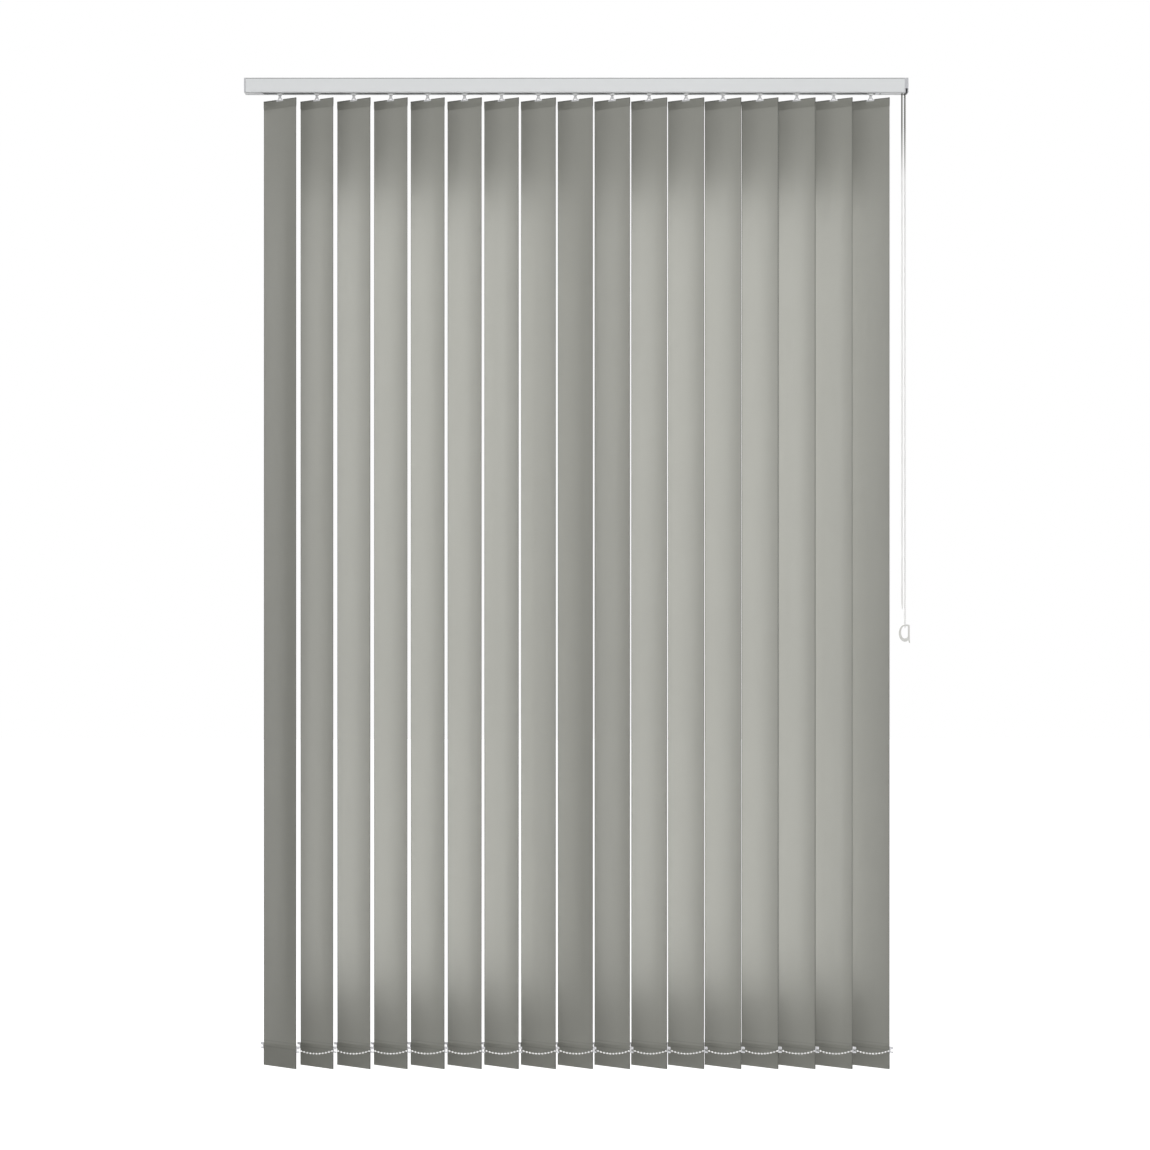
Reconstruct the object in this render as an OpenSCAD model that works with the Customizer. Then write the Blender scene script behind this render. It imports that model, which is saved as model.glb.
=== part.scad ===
// Vertical blind: fabric slats hung from carriers in a headrail, turned by a
// ball chain and drawn aside by a cord. The origin is the middle of the
// headrail's top face, with +X to the right, +Y away from the viewer, +Z up.

/* [Headrail] */
// Depth of the headrail from front to back
rail_depth = 32; // [32:1:40]
// Height of the headrail
rail_height = 31; // [31:1:38]
// Wall of the extrusion
rail_wall = 1.4; // [1.2:0.1:1.6]
// Width of the slot along the underside
slot_width = 15; // [14.5:0.5:16]
// Radius of the lower edges
rail_edge_radius = 2; // [1:0.5:2.5]
// Height of the step along the upper edges
edge_step_height = 2.4; // [1.5:0.1:3]
// Depth of that step
edge_step_depth = 0.6; // [0.3:0.1:0.8]
// Distance from the left end of the rail to the first stem
idle_margin = 74; // [70:1:120]
// Distance from the last stem to the right end of the rail
control_margin = 78; // [74:1:120]

/* [Top groove and mounting clips] */
// Inside width of the groove along the top
groove_width = 22; // [20:0.5:24]
// Width of the groove's mouth between its lips
groove_mouth = 16; // [14:0.5:18]
// Depth of the groove
groove_depth = 5; // [4.5:0.1:5.4]
// Distance between the two mounting clips
clip_spacing = 1000; // [600:10:1200]
// Length of a mounting clip along the rail
clip_length = 40; // [25:1:60]
// Diameter of the fixing hole in each clip
fixing_hole = 5; // [4:0.1:6]
// Slack of a clip in the groove, all round
clip_slack = 0.2; // [0.1:0.05:0.4]

/* [End caps] */
// Thickness of the left cap outside the rail
idle_flange = 4; // [3:0.5:6]
// Thickness of the right cap outside the rail
control_flange = 8; // [8:0.5:12]
// Length of the left plug inside the rail
idle_plug = 32; // [28:1:36]
// Length of the right plug inside the rail
control_plug = 30; // [28:1:36]
// Length of the left tongue that closes the slot
idle_tongue = 39; // [36:1:42]
// Length of the right tongue that closes the slot
control_tongue = 56; // [46:1:58]
// Length of the stop foot on each tongue
stop_length = 8.5; // [6:0.5:9]
// How far the stop feet reach below the rail
stop_drop = 1.5; // [1:0.1:2.5]
// Distance of the right stop foot from its tongue
stop_gap = 4; // [3:0.5:4.5]
// Slack of the plugs in the rail
plug_slack = 0.3; // [0.1:0.05:0.4]
// Wall of the caps' mouldings
cap_wall = 2; // [1.6:0.1:2.4]
// Distance of the notch's near side from the right cap's end
notch_width = 6; // [4:0.5:7]
// Height of that notch
notch_height = 9; // [6:0.5:10]

/* [Slats] */
// Number of slats
slat_count = 17; // [5:1:17]
// Distance from slat to slat when the blind is drawn
slat_pitch = 78; // [76:0.5:82]
// Width of a slat
slat_width = 89; // [80:0.5:92]
// Length of a slat
slat_length = 2044.5; // [800:0.5:2400]
// Thickness of the fabric
fabric = 0.4; // [0.3:0.05:0.5]
// Gap from the headrail's underside to the slats' top edge
slat_gap = 12; // [11:0.5:20]
// Height of the hem at the top of a slat
top_hem = 18; // [15:0.5:30]
// Height of the pocket at the bottom of a slat
bottom_pocket = 47; // [42:0.5:60]
// Slack of the hanger and the weight in their pockets
pocket_slack = 0.05; // [0.05:0.01:0.15]
// Angle between the slats and the rail as the blind is shown
rest_angle = 34; // [25:1:60]

/* [Hangers and weights] */
// Thickness of the hanger and of the weight
strip = 1; // [0.8:0.05:1.1]
// Length of the hanger in the hem
hanger_length = 82; // [60:1:84]
// Width of the hanger's bail where it meets the hem
bail_width = 13; // [11:0.5:14]
// Thickness of the chain clips on the weight's ends
clip_thick = 2.2; // [1.8:0.1:2.4]
// Height of a chain clip
clip_height = 13; // [11:0.5:15]
// How far a chain clip reaches past the slat's edge
clip_reach = 8; // [7:0.5:9]
// Height of the chain's eye above the bottom of the slat
eye_height = 41.5; // [38:0.5:44]
// Distance of the chain's eye from the slat's edge
eye_reach = 5; // [4.5:0.1:5.5]

/* [Carriers] */
// Length of a carrier along the rail
carrier_length = 14; // [13:0.5:15]
// Width of a carrier's foot, seen under the rail
foot_width = 8.4; // [6:0.1:9]
// How far the foot reaches below the rail
foot_drop = 3; // [1:0.1:3.4]
// Diameter of a slat's stem
stem_diameter = 4; // [3.6:0.1:4.2]
// Clearance of a turning shaft in its bore
running_fit = 0.05; // [0.03:0.01:0.08]
// Clearance around a part that moves inside another
moving_gap = 0.3; // [0.25:0.05:0.4]
// Thickness of a spacer link
spacer_thick = 0.5; // [0.4:0.05:0.6]
// Width of a spacer link
spacer_width = 4.8; // [4:0.1:5.2]

/* [Tilt drive] */
// Distance of the tilt rod behind the stems
rod_offset = 7; // [6.8:0.1:7.4]
// Height of the tilt rod above the rail's floor
rod_rise = 6.6; // [6.4:0.1:7.2]
// Diameter of the tilt rod across its corners
rod_diameter = 5; // [4.4:0.1:5]
// Diameter of the tilt rod's round ends
journal_diameter = 4; // [3.6:0.1:4]
// Teeth of the gear on a stem
gear_teeth = 12; // [10:1:14]
// Diameter of the control chain's balls
ball_diameter = 3.2; // [2.8:0.1:3.4]
// Distance from ball to ball
ball_pitch = 4.5; // [4.4:0.05:4.6]
// Balls around the chain wheel
wheel_balls = 8; // [8:1:8]

/* [Cord drive] */
// Diameter of the traverse cord
cord_diameter = 2.2; // [1.8:0.1:2.2]
// Radius of the cord's bend over a cord pulley
cord_bend = 4.5; // [4.3:0.1:4.6]
// Distance of the hanging cord from the right end of the rail
cord_inset = 12; // [11.5:0.5:13]
// Place of the front cord run, front to back
front_run_y = -5; // [-5.2:0.1:-4.8]
// Place of the rear cord run, front to back
rear_run_y = 2.6; // [2.5:0.1:2.8]
// Diameter of the pulley pins
pin_diameter = 2; // [1.8:0.1:2]

/* [Link chains] */
// Diameter of a bead
bead_diameter = 3.6; // [3:0.1:3.8]
// Beads between two slats
span_beads = 11; // [9:1:12]
// Diameter of the thread between the beads
thread_diameter = 1.2; // [0.8:0.1:1.4]
// Sag of the chain between two slats
chain_sag = 8.2; // [6:0.1:12]

/* [Chain tidy] */
// Depth of the tidy from front to back
tidy_depth = 4; // [3:0.1:4.2]
// Thickness of the bar that hangs in the chain
tidy_bar = 3; // [2.5:0.1:3.5]

/* [Hidden] */
$fn = 48;
cut = 0.02;

function two_digits(k) = str(k < 10 ? "0" : "", k);
function carrier_name(k) = str("carrier_", two_digits(k));
function slat_name(k) = str("slat_", two_digits(k));

STATIONS = [for (k = [1:slat_count]) k];

// Colours
rail_colour = [0.86, 0.87, 0.87];
plastic_colour = [0.93, 0.93, 0.92];
metal_colour = [0.72, 0.73, 0.74];
fabric_colour = [0.62, 0.61, 0.57];
cord_colour = [0.88, 0.88, 0.86];

// The rail's ends and the stems along it
rail_length = idle_margin + (slat_count - 1) * slat_pitch + control_margin;
left_end = -rail_length / 2;
right_end = rail_length / 2;
extrusion_left = left_end + idle_flange;
extrusion_right = right_end - control_flange;
function stem_x(k) = left_end + idle_margin + (k - 1) * slat_pitch;

// The rail's inside
cavity_half = rail_depth / 2 - rail_wall;
cavity_top = -groove_depth - rail_wall;
cavity_floor = rail_wall - rail_height;
slot_half = slot_width / 2;

// Plugs and tongues of the caps
plug_half = cavity_half - plug_slack;
plug_top = cavity_top - plug_slack;
plug_floor = cavity_floor + plug_slack;
plug_floor_top = plug_floor + 1.5;
tongue_half = slot_half - plug_slack;
tongue_top = plug_floor + 0.8;
stop_recess = 0.8;

// Tilt rod, worm and gear
rod_z = cavity_floor + rod_rise;
worm_bore = rod_diameter / 2 + moving_gap;
worm_radius = worm_bore + 0.5;
gear_tip = rod_offset - worm_radius - moving_gap;
gear_root = gear_tip - 0.6;
gear_top = rod_z + 2.2;
gear_floor = rod_z - 2.1;
pocket_floor = gear_floor - 0.1;
worm_length = 8;

// Chain wheel and control chain
chain_x = right_end - 4.8;
wheel_pitch_radius = wheel_balls * ball_pitch / (2 * PI);
ball_radius = ball_diameter / 2;
wheel_hub = wheel_pitch_radius - ball_radius - moving_gap;
wheel_rim = 6.6;
wheel_rim_thick = 0.9;
wheel_gap = ball_diameter + 2 * moving_gap;
wheel_outer = chain_x + wheel_gap / 2 + wheel_rim_thick;
wheel_inner = chain_x - wheel_gap / 2 - wheel_rim_thick;
wheel_room = wheel_pitch_radius + ball_radius + 0.8;
wheel_room_end = wheel_outer + 0.4;

// Cord runs and pulleys
cord_x = right_end - cord_inset;
cord_radius = cord_diameter / 2;
run_z = cavity_top - 3.3;
pulley_x = cord_x - cord_bend;
pulley_z = run_z - cord_bend;
pulley_groove = cord_bend - cord_radius - moving_gap;
pulley_rim = cord_bend + 0.7;
pulley_width = cord_diameter + 2.2;
pin_radius = pin_diameter / 2;
return_radius = (rear_run_y - front_run_y) / 2;
return_y = (rear_run_y + front_run_y) / 2;
return_x = extrusion_left + 12;
return_groove = return_radius - cord_radius - moving_gap;
return_rim = return_radius + 0.8;
shelf_top = run_z - pulley_width / 2 - 0.1;
shelf_thick = 1.6;
cord_hole = cord_radius + 0.6;

// Carriers and spacer links
carrier_top = cavity_top - 0.6;
carrier_floor = cavity_floor + 0.6;
carrier_front = front_run_y - cord_hole - 2.8;
carrier_back = rod_offset + worm_radius + moving_gap + 0.8;
wing_reach = cavity_half - 0.6;
wing_floor = cavity_floor + 0.1;
wing_height = 3;
wing_length = carrier_length - 2;
foot_half = slot_half - 1;
foot_floor = -rail_height - foot_drop;
spacer_levels = 6;
spacer_step = spacer_thick + 0.4;
spacer_slot_height = spacer_levels * spacer_step + 0.2;
spacer_slot_top = run_z - cord_hole - 1;
spacer_slot_half = spacer_width / 2 + 0.6;
spacer_root_half = spacer_slot_half + 0.55;
spacer_root_length = 4;
spacer_tip = 4;

// Slats and what is in them
slat_top = -rail_height - slat_gap;
slat_bottom = slat_top - slat_length;
slat_half = slat_width / 2;
pocket_half = strip / 2 + pocket_slack;
hem_half = pocket_half + fabric;
hanger_height = top_hem - 4;
fork_top = foot_floor - 0.5;
fork_width = 4.2;
fork_depth = strip + 2 * pocket_slack + 2.6;
bail_bar = 1.9;
fork_slot_top = fork_top - 2.2;
bail_top = fork_slot_top - 0.2;
fork_pin_radius = 0.7;
fork_pin_z = bail_top - bail_bar - fork_pin_radius - 0.2;
fork_floor = fork_pin_z - 1.6;
weight_height = bottom_pocket - 4;
weight_half = slat_half - 1;
eye_z = slat_bottom + eye_height;
eye_u = slat_half + eye_reach;
eye_slot_up = 1.2;
eye_slot_down = 3.2;

// Link chains
bead_radius = bead_diameter / 2;
thread_radius = thread_diameter / 2;
bead_step = slat_pitch / (span_beads + 1);
eye_gap = 0.2;

// The hanging cord: its route in the plane of its two strands, as [y, z]
cord_front_route = [[-5, -31], [-5, -120], [-5, -400], [-5, -750], [-5.2, -1050], [-5.7, -1095]];
cord_turn = [-1.2, -1114.4];
cord_turn_radius = 4.6;
cord_rear_route = [[3.3, -1095], [2.8, -1050], [2.6, -750], [2.6, -400], [2.6, -120], [2.6, -31]];

// The hanging control chain: its route in the plane of its two strands, as [y, z]
chain_front_route = [[1.27, -60], [1.27, -400], [1.27, -800], [1, -1080], [0.6, -1130]];
chain_turn = [7, -1151.6];
chain_turn_radius = 6.5;
arc_top = 90;
chain_rear_route = [[13.4, -1130], [13, -1080], [12.73, -800], [12.73, -400], [12.73, -60]];

// The tidy's loop: the half axes of its two ovals, as [x, z], and where they end
tidy_half = [13.1, 18.2];
tidy_hole_half = [8.4, 13.4];
tidy_shift = 0.25;
tidy_arc_end = 264;

// Points on an arc, from one angle to another
function arc(centre, radius, from, to, steps) =
    [for (i = [0:steps]) let (a = from + (to - from) * i / steps) centre + radius * [cos(a), sin(a)]];

// Points on a half oval, from one angle to another
function oval(centre, half, from, to, steps) =
    [for (i = [0:steps]) let (a = from + (to - from) * i / steps) centre + [half[0] * cos(a), half[1] * sin(a)]];

function unit(v) = v / norm(v);

// Where a path runs at its point i
function heading(path, i) =
    unit(path[min(i + 1, len(path) - 1)] - path[max(i - 1, 0)]);

// A round tube along a path of [y, z] points in the plane x
module tube(path, x, radius, sides = 8) {
    rings = len(path);
    points = [
        for (i = [0:rings - 1])
            let (t = heading(path, i))
                for (j = [0:sides - 1])
                    let (a = 360 * j / sides)
                        [
                            x + radius * cos(a),
                            path[i][0] - radius * sin(a) * t[1],
                            path[i][1] + radius * sin(a) * t[0]
                        ]
    ];
    walls = [
        for (i = [0:rings - 2])
            for (j = [0:sides - 1])
                let (a = i * sides + j, b = i * sides + (j + 1) % sides)
                    for (triangle = [[a, b, b + sides], [a, b + sides, a + sides]])
                        triangle
    ];
    first_end = [for (j = [sides - 1:-1:0]) j];
    last_end = [for (j = [0:sides - 1]) (rings - 1) * sides + j];
    polyhedron(points, concat([first_end], walls, [last_end]));
}

// A block from one corner to the opposite one
module block(low, high) {
    translate(low) cube(high - low);
}

// Sections drawn as [y, z], run along the rail from one x to another
module along_rail(from, to) {
    translate([from, 0, 0]) rotate([90, 0, 90]) linear_extrude(to - from) children();
}

// A cylinder along the rail, with its axis at y and z
module shaft_x(from, to, y, z, radius, fn = $fn) {
    translate([from, y, z]) rotate([0, 90, 0]) cylinder(r = radius, h = to - from, $fn = fn);
}

// A cylinder from front to back, with its axis at x and z
module shaft_y(from, to, x, z, radius) {
    translate([x, from, z]) rotate([-90, 0, 0]) cylinder(r = radius, h = to - from);
}

// Outline of the headrail: stepped upper edges and rounded lower ones
module rail_outline() {
    half = rail_depth / 2;
    r = rail_edge_radius;
    polygon(concat(
        [[half - edge_step_depth, 0], [-half + edge_step_depth, 0]],
        [[-half + edge_step_depth, -edge_step_height], [-half, -edge_step_height]],
        arc([-half + r, r - rail_height], r, 180, 270, 5),
        arc([half - r, r - rail_height], r, 270, 360, 5),
        [[half, -edge_step_height], [half - edge_step_depth, -edge_step_height]]
    ));
}

// The groove along the top, with its lips
module groove_outline(slack = 0) {
    half = groove_width / 2 - slack;
    mouth = groove_mouth / 2 - slack;
    translate([-half, slack - groove_depth]) square([2 * half, groove_depth - rail_wall - 2 * slack]);
    translate([-mouth, slack - groove_depth]) square([2 * mouth, groove_depth - slack + (slack > 0 ? 0 : cut)]);
}

module headrail() {
    chamber_from = groove_width / 2 + rail_wall;
    chamber_to = rail_depth / 2 - edge_step_depth - rail_wall;
    color(rail_colour) along_rail(extrusion_left, extrusion_right) difference() {
        rail_outline();
        groove_outline();
        translate([-cavity_half, cavity_floor]) square([2 * cavity_half, cavity_top - cavity_floor]);
        translate([-slot_half, -rail_height - cut]) square([slot_width, rail_wall + 2 * cut]);
        for (side = [0, 1])
            mirror([side, 0])
                translate([chamber_from, -groove_depth])
                    square([chamber_to - chamber_from, groove_depth - rail_wall]);
    }
}

// A spring clip in the top groove, with its fixing hole
module mounting_clip(x) {
    countersink = 1.6;
    color(metal_colour) difference() {
        along_rail(x - clip_length / 2, x + clip_length / 2) groove_outline(clip_slack);
        translate([x, 0, -groove_depth]) cylinder(d = fixing_hole, h = groove_depth + cut);
        translate([x, 0, clip_slack - groove_depth - cut])
            cylinder(d1 = fixing_hole + 2 * countersink, d2 = fixing_hole, h = countersink);
    }
}

module mounting_clip_left() {
    mounting_clip(-clip_spacing / 2);
}

module mounting_clip_right() {
    mounting_clip(clip_spacing / 2);
}

// Left cap: outer plate, plug with the return pulley's shelf, and tongue
module idle_end_cap() {
    plug_end = extrusion_left + idle_plug;
    wall_end = extrusion_left + cap_wall + 2;
    color(plastic_colour) difference() {
        union() {
            along_rail(left_end, extrusion_left) rail_outline();
            difference() {
                block([extrusion_left - cut, -plug_half, plug_floor], [plug_end, plug_half, plug_top]);
                block(
                    [wall_end, cap_wall - plug_half, plug_floor_top],
                    [plug_end + cut, plug_half - cap_wall, plug_top + cut]
                );
            }
            block(
                [wall_end - cut, cut - plug_half, shelf_top - shelf_thick],
                [return_x + return_rim + 2, plug_half - cut, shelf_top]
            );
            block(
                [left_end + cut, -tongue_half, cut - rail_height],
                [left_end + idle_tongue, tongue_half, tongue_top]
            );
            block(
                [left_end + idle_tongue - stop_length, -tongue_half, -rail_height - stop_drop],
                [left_end + idle_tongue, tongue_half, tongue_top]
            );
        }
        shaft_x(wall_end - 3.2, wall_end + cut, rod_offset, rod_z, journal_diameter / 2 + running_fit);
        translate([return_x, return_y, shelf_top - shelf_thick - cut])
            cylinder(r = pin_radius + running_fit, h = shelf_thick + 2 * cut);
    }
}

// Right cap: chain wheel housing, plug with the cord pulleys' walls, and tongue
module control_end_cap() {
    plug_end = extrusion_right - control_plug;
    wall_end = plug_end + 2 * cap_wall;
    tongue_end = right_end - control_tongue;
    color(plastic_colour) difference() {
        union() {
            along_rail(extrusion_right, right_end) rail_outline();
            difference() {
                block([plug_end, -plug_half, plug_floor], [extrusion_right + cut, plug_half, plug_top]);
                block(
                    [wall_end, cap_wall - plug_half, plug_floor_top],
                    [extrusion_right, plug_half - cap_wall, plug_top + cut]
                );
            }
            block(
                [tongue_end, -tongue_half, cut - rail_height],
                [extrusion_right + cut, tongue_half, tongue_top]
            );
            block(
                [tongue_end - stop_gap - cut, -tongue_half, stop_recess - rail_height],
                [tongue_end + cut, tongue_half, tongue_top]
            );
            block(
                [tongue_end - stop_gap - stop_length, -tongue_half, -rail_height - stop_drop],
                [tongue_end - stop_gap, tongue_half, tongue_top]
            );
        }
        block(
            [extrusion_right - cut, rod_offset - wheel_room, -rail_height - cut],
            [wheel_room_end, rod_offset + wheel_room, rod_z + wheel_room]
        );
        block(
            [right_end - notch_width, -rail_depth / 2 - cut, -rail_height - cut],
            [wheel_room_end, rod_offset - wheel_room + cut, notch_height - rail_height]
        );
        shaft_x(plug_end - cut, wall_end + cut, rod_offset, rod_z, journal_diameter / 2 + running_fit);
        shaft_x(wheel_room_end - cut, right_end - 0.5, rod_offset, rod_z, pin_radius + running_fit);
        shaft_y(-plug_half - cut, plug_half + cut, pulley_x, pulley_z, pin_radius + running_fit);
        for (y = [front_run_y, rear_run_y]) {
            translate([cord_x, y, -rail_height]) cylinder(r = cord_hole, h = plug_floor_top + rail_height + cut);
            block([plug_end - cut, y - cord_hole, run_z - cord_hole], [wall_end + cut, y + cord_hole, plug_top + cut]);
        }
    }
}

// Six-sided rod with round ends that turn in the caps
module tilt_rod() {
    idle_bearing = extrusion_left + cap_wall + 2;
    control_bearing = extrusion_right - control_plug;
    round_from = control_bearing - 2;
    color(metal_colour) union() {
        shaft_x(idle_bearing + 0.5, round_from, rod_offset, rod_z, rod_diameter / 2, 6);
        shaft_x(idle_bearing - 3, idle_bearing + 0.5 + cut, rod_offset, rod_z, journal_diameter / 2);
        shaft_x(round_from - cut, wheel_outer, rod_offset, rod_z, journal_diameter / 2);
        shaft_x(wheel_outer - cut, right_end - 0.7, rod_offset, rod_z, pin_radius);
    }
}

// Grooved wheel that the control chain runs over
module chain_wheel() {
    color(plastic_colour) difference() {
        union() {
            shaft_x(wheel_inner, wheel_outer, rod_offset, rod_z, wheel_hub);
            for (x = [wheel_inner, wheel_outer - wheel_rim_thick])
                shaft_x(x, x + wheel_rim_thick, rod_offset, rod_z, wheel_rim);
        }
        shaft_x(wheel_inner - cut, wheel_outer + cut, rod_offset, rod_z, journal_diameter / 2 + running_fit);
    }
}

module pulley_axle() {
    color(metal_colour)
        shaft_y(0.2 - plug_half, plug_half - 0.2, pulley_x, pulley_z, pin_radius);
}

// Section of a grooved pulley, from its bore outwards
module pulley_section(groove, rim) {
    half = pulley_width / 2;
    polygon([
        [pin_radius + running_fit, -half],
        [rim, -half],
        [rim, 0.4 - half],
        [groove, -cord_radius],
        [groove, cord_radius],
        [rim, half - 0.4],
        [rim, half],
        [pin_radius + running_fit, half]
    ]);
}

module cord_pulley(y) {
    color(plastic_colour)
        translate([pulley_x, y, pulley_z])
            rotate([90, 0, 0])
                rotate_extrude() pulley_section(pulley_groove, pulley_rim);
}

module front_cord_pulley() {
    cord_pulley(front_run_y);
}

module rear_cord_pulley() {
    cord_pulley(rear_run_y);
}

module return_pulley() {
    color(plastic_colour)
        translate([return_x, return_y, run_z])
            rotate_extrude() pulley_section(return_groove, return_rim);
}

module return_pulley_pin() {
    color(metal_colour)
        translate([return_x, return_y, shelf_top - shelf_thick])
            cylinder(r = pin_radius, h = cavity_top - 0.4 - shelf_top + shelf_thick);
}

// The cord inside the rail: up over the cord pulleys, along, and round the return pulley
module traverse_cord_runs() {
    color(cord_colour) union() {
        for (y = [front_run_y, rear_run_y]) {
            translate([cord_x, y, -rail_height]) cylinder(r = cord_radius, h = pulley_z + rail_height, $fn = 24);
            translate([pulley_x, y, pulley_z])
                rotate([90, 0, 0])
                    rotate_extrude(angle = 90)
                        translate([cord_bend, 0]) circle(r = cord_radius, $fn = 24);
            shaft_x(return_x, pulley_x, y, run_z, cord_radius, 24);
        }
        translate([return_x, return_y, run_z])
            rotate([0, 0, 90])
                rotate_extrude(angle = 180)
                    translate([return_radius, 0]) circle(r = cord_radius, $fn = 24);
    }
}

module traverse_cord() {
    turn = arc(cord_turn, cord_turn_radius, 180, 360, 10);
    color(cord_colour)
        tube(concat(cord_front_route, turn, cord_rear_route), cord_x, cord_radius);
}

module control_chain() {
    axis = [rod_offset, rod_z];
    opening = 3;
    over_front = arc(axis, wheel_pitch_radius, arc_top + opening, 180, 6);
    over_rear = arc(axis, wheel_pitch_radius, 0, arc_top - opening, 6);
    turn = arc(chain_turn, chain_turn_radius, 180, 360, 10);
    color(cord_colour)
        tube(concat(over_front, chain_front_route, turn, chain_rear_route, over_rear), chain_x, ball_radius);
}

// P-shaped loop that hangs in the control chain, drawn as [x, z] from the chain's turn
module tidy_outline() {
    bar_top = tidy_bar;
    difference() {
        polygon(concat(
            [[8.3, bar_top]],
            oval([tidy_shift, bar_top - tidy_half[1]], tidy_half, arc_top, tidy_arc_end, 16),
            [[4.6, -32.6], [7, -29]],
            [[8.6, -36], [11.4, -36], [10.2, -29], [10.2, bar_top - 2]]
        ));
        polygon(concat(
            [[6.4, 0]],
            oval([tidy_shift, -tidy_hole_half[1]], tidy_hole_half, arc_top, tidy_arc_end, 16),
            [[3.8, -25.6], [6.4, -22.4]]
        ));
    }
}

module chain_tidy() {
    seat = chain_turn[1] - chain_turn_radius + ball_radius + 0.9;
    color(plastic_colour)
        translate([chain_x, chain_turn[0] + tidy_depth / 2, seat])
            rotate([90, 0, 0]) linear_extrude(tidy_depth) tidy_outline();
}

// One carrier: body with its wings and foot, the worm on the rod, and its spacer link
module carrier(k) {
    color(plastic_colour) translate([stem_x(k), 0, 0]) {
        carrier_body(k);
        worm();
        if (k > 1) spacer_link(k);
    }
}

function spacer_z(k) = spacer_slot_top - 0.3 - (k % spacer_levels) * spacer_step - spacer_thick;

module carrier_body(k) {
    half = carrier_length / 2;
    difference() {
        union() {
            block([-half, carrier_front, carrier_floor], [half, carrier_back, carrier_top]);
            block(
                [-wing_length / 2, -wing_reach, wing_floor],
                [wing_length / 2, -foot_half - 2, wing_floor + wing_height]
            );
            block(
                [-wing_length / 2, foot_half + 2, wing_floor],
                [wing_length / 2, wing_reach, wing_floor + wing_height]
            );
            block([-foot_width / 2, -foot_half, foot_floor], [foot_width / 2, foot_half, carrier_floor + 1]);
        }
        translate([0, 0, foot_floor - cut])
            cylinder(r = stem_diameter / 2 + running_fit, h = pocket_floor - foot_floor + 2 * cut);
        translate([0, 0, pocket_floor]) cylinder(r = gear_tip + 0.5, h = gear_top - pocket_floor + 0.2);
        block(
            [-gear_tip - 0.5, carrier_front - cut, pocket_floor],
            [gear_tip + 0.5, 0, gear_top + 0.2]
        );
        shaft_x(-half - cut, half + cut, rod_offset, rod_z, rod_diameter / 2 + 0.4);
        shaft_x(-worm_length / 2 - 0.2, worm_length / 2 + 0.2, rod_offset, rod_z, worm_radius + moving_gap);
        for (y = [front_run_y, rear_run_y])
            block([-half - cut, y - cord_hole, run_z - cord_hole], [half + cut, y + cord_hole, carrier_top + cut]);
        block(
            [-half - cut, -spacer_slot_half, spacer_slot_top - spacer_slot_height],
            [half + cut, spacer_slot_half, spacer_slot_top]
        );
        if (k > 1)
            block(
                [-half - cut, -spacer_root_half - 0.05, spacer_z(k) - 0.05],
                [spacer_root_length - half + 0.05, spacer_root_half + 0.05, spacer_z(k) + spacer_thick + 0.05]
            );
    }
}

// Sleeve on the tilt rod, beside the stem's gear
module worm() {
    difference() {
        shaft_x(-worm_length / 2, worm_length / 2, rod_offset, rod_z, worm_radius);
        shaft_x(-worm_length / 2 - cut, worm_length / 2 + cut, rod_offset, rod_z, worm_bore);
    }
}

// Thin link that reaches through the carrier before this one and sets the pitch
module spacer_link(k) {
    half = carrier_length / 2;
    z = spacer_z(k);
    union() {
        block([-half, -spacer_root_half, z], [spacer_root_length - half, spacer_root_half, z + spacer_thick]);
        block(
            [-slat_pitch - half - spacer_tip, -spacer_width / 2, z],
            [cut - half, spacer_width / 2, z + spacer_thick]
        );
    }
}

// One slat with its stem hook, hanger and bottom weight, turned to the rest angle
module slat(k) {
    translate([stem_x(k), 0, 0]) rotate([0, 0, -rest_angle]) {
        color(plastic_colour) stem_hook();
        color(plastic_colour) hanger();
        color(fabric_colour) slat_fabric();
        color(plastic_colour) bottom_weight();
    }
}

// Outline of the stem's gear
module gear_outline() {
    step = 360 / gear_teeth;
    polygon([
        for (i = [0:gear_teeth - 1])
            for (p = [[-0.3, gear_root], [-0.14, gear_tip], [0.14, gear_tip], [0.3, gear_root]])
                p[1] * [cos((i + p[0]) * step), sin((i + p[0]) * step)]
    ]);
}

// Stem with its gear at the top and a pinned fork at the bottom
module stem_hook() {
    translate([0, 0, gear_floor]) linear_extrude(gear_top - gear_floor) gear_outline();
    translate([0, 0, fork_top - 1]) cylinder(d = stem_diameter, h = gear_floor - fork_top + 1 + cut);
    difference() {
        block([-fork_width / 2, -fork_depth / 2, fork_floor], [fork_width / 2, fork_depth / 2, fork_top]);
        block(
            [-fork_width, -pocket_half, fork_floor - cut],
            [fork_width, pocket_half, fork_slot_top]
        );
    }
    shaft_y(-fork_depth / 2 + cut, fork_depth / 2 - cut, 0, fork_pin_z, fork_pin_radius);
}

// Flat strip in the hem, with the bail that hangs on the fork's pin
module hanger() {
    half = hanger_length / 2;
    top = slat_top - fabric - pocket_slack;
    foot = bail_width / 2;
    leg = 2;
    translate([0, strip / 2, 0]) rotate([90, 0, 0]) linear_extrude(strip) difference() {
        polygon([
            [-half, top - hanger_height],
            [half, top - hanger_height],
            [half, top],
            [foot, top],
            [2.4, bail_top],
            [-2.4, bail_top],
            [-foot, top],
            [-half, top]
        ]);
        polygon([
            [leg - foot, top - 1],
            [foot - leg, top - 1],
            [1.3, bail_top - bail_bar],
            [-1.3, bail_top - bail_bar]
        ]);
    }
}

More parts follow.
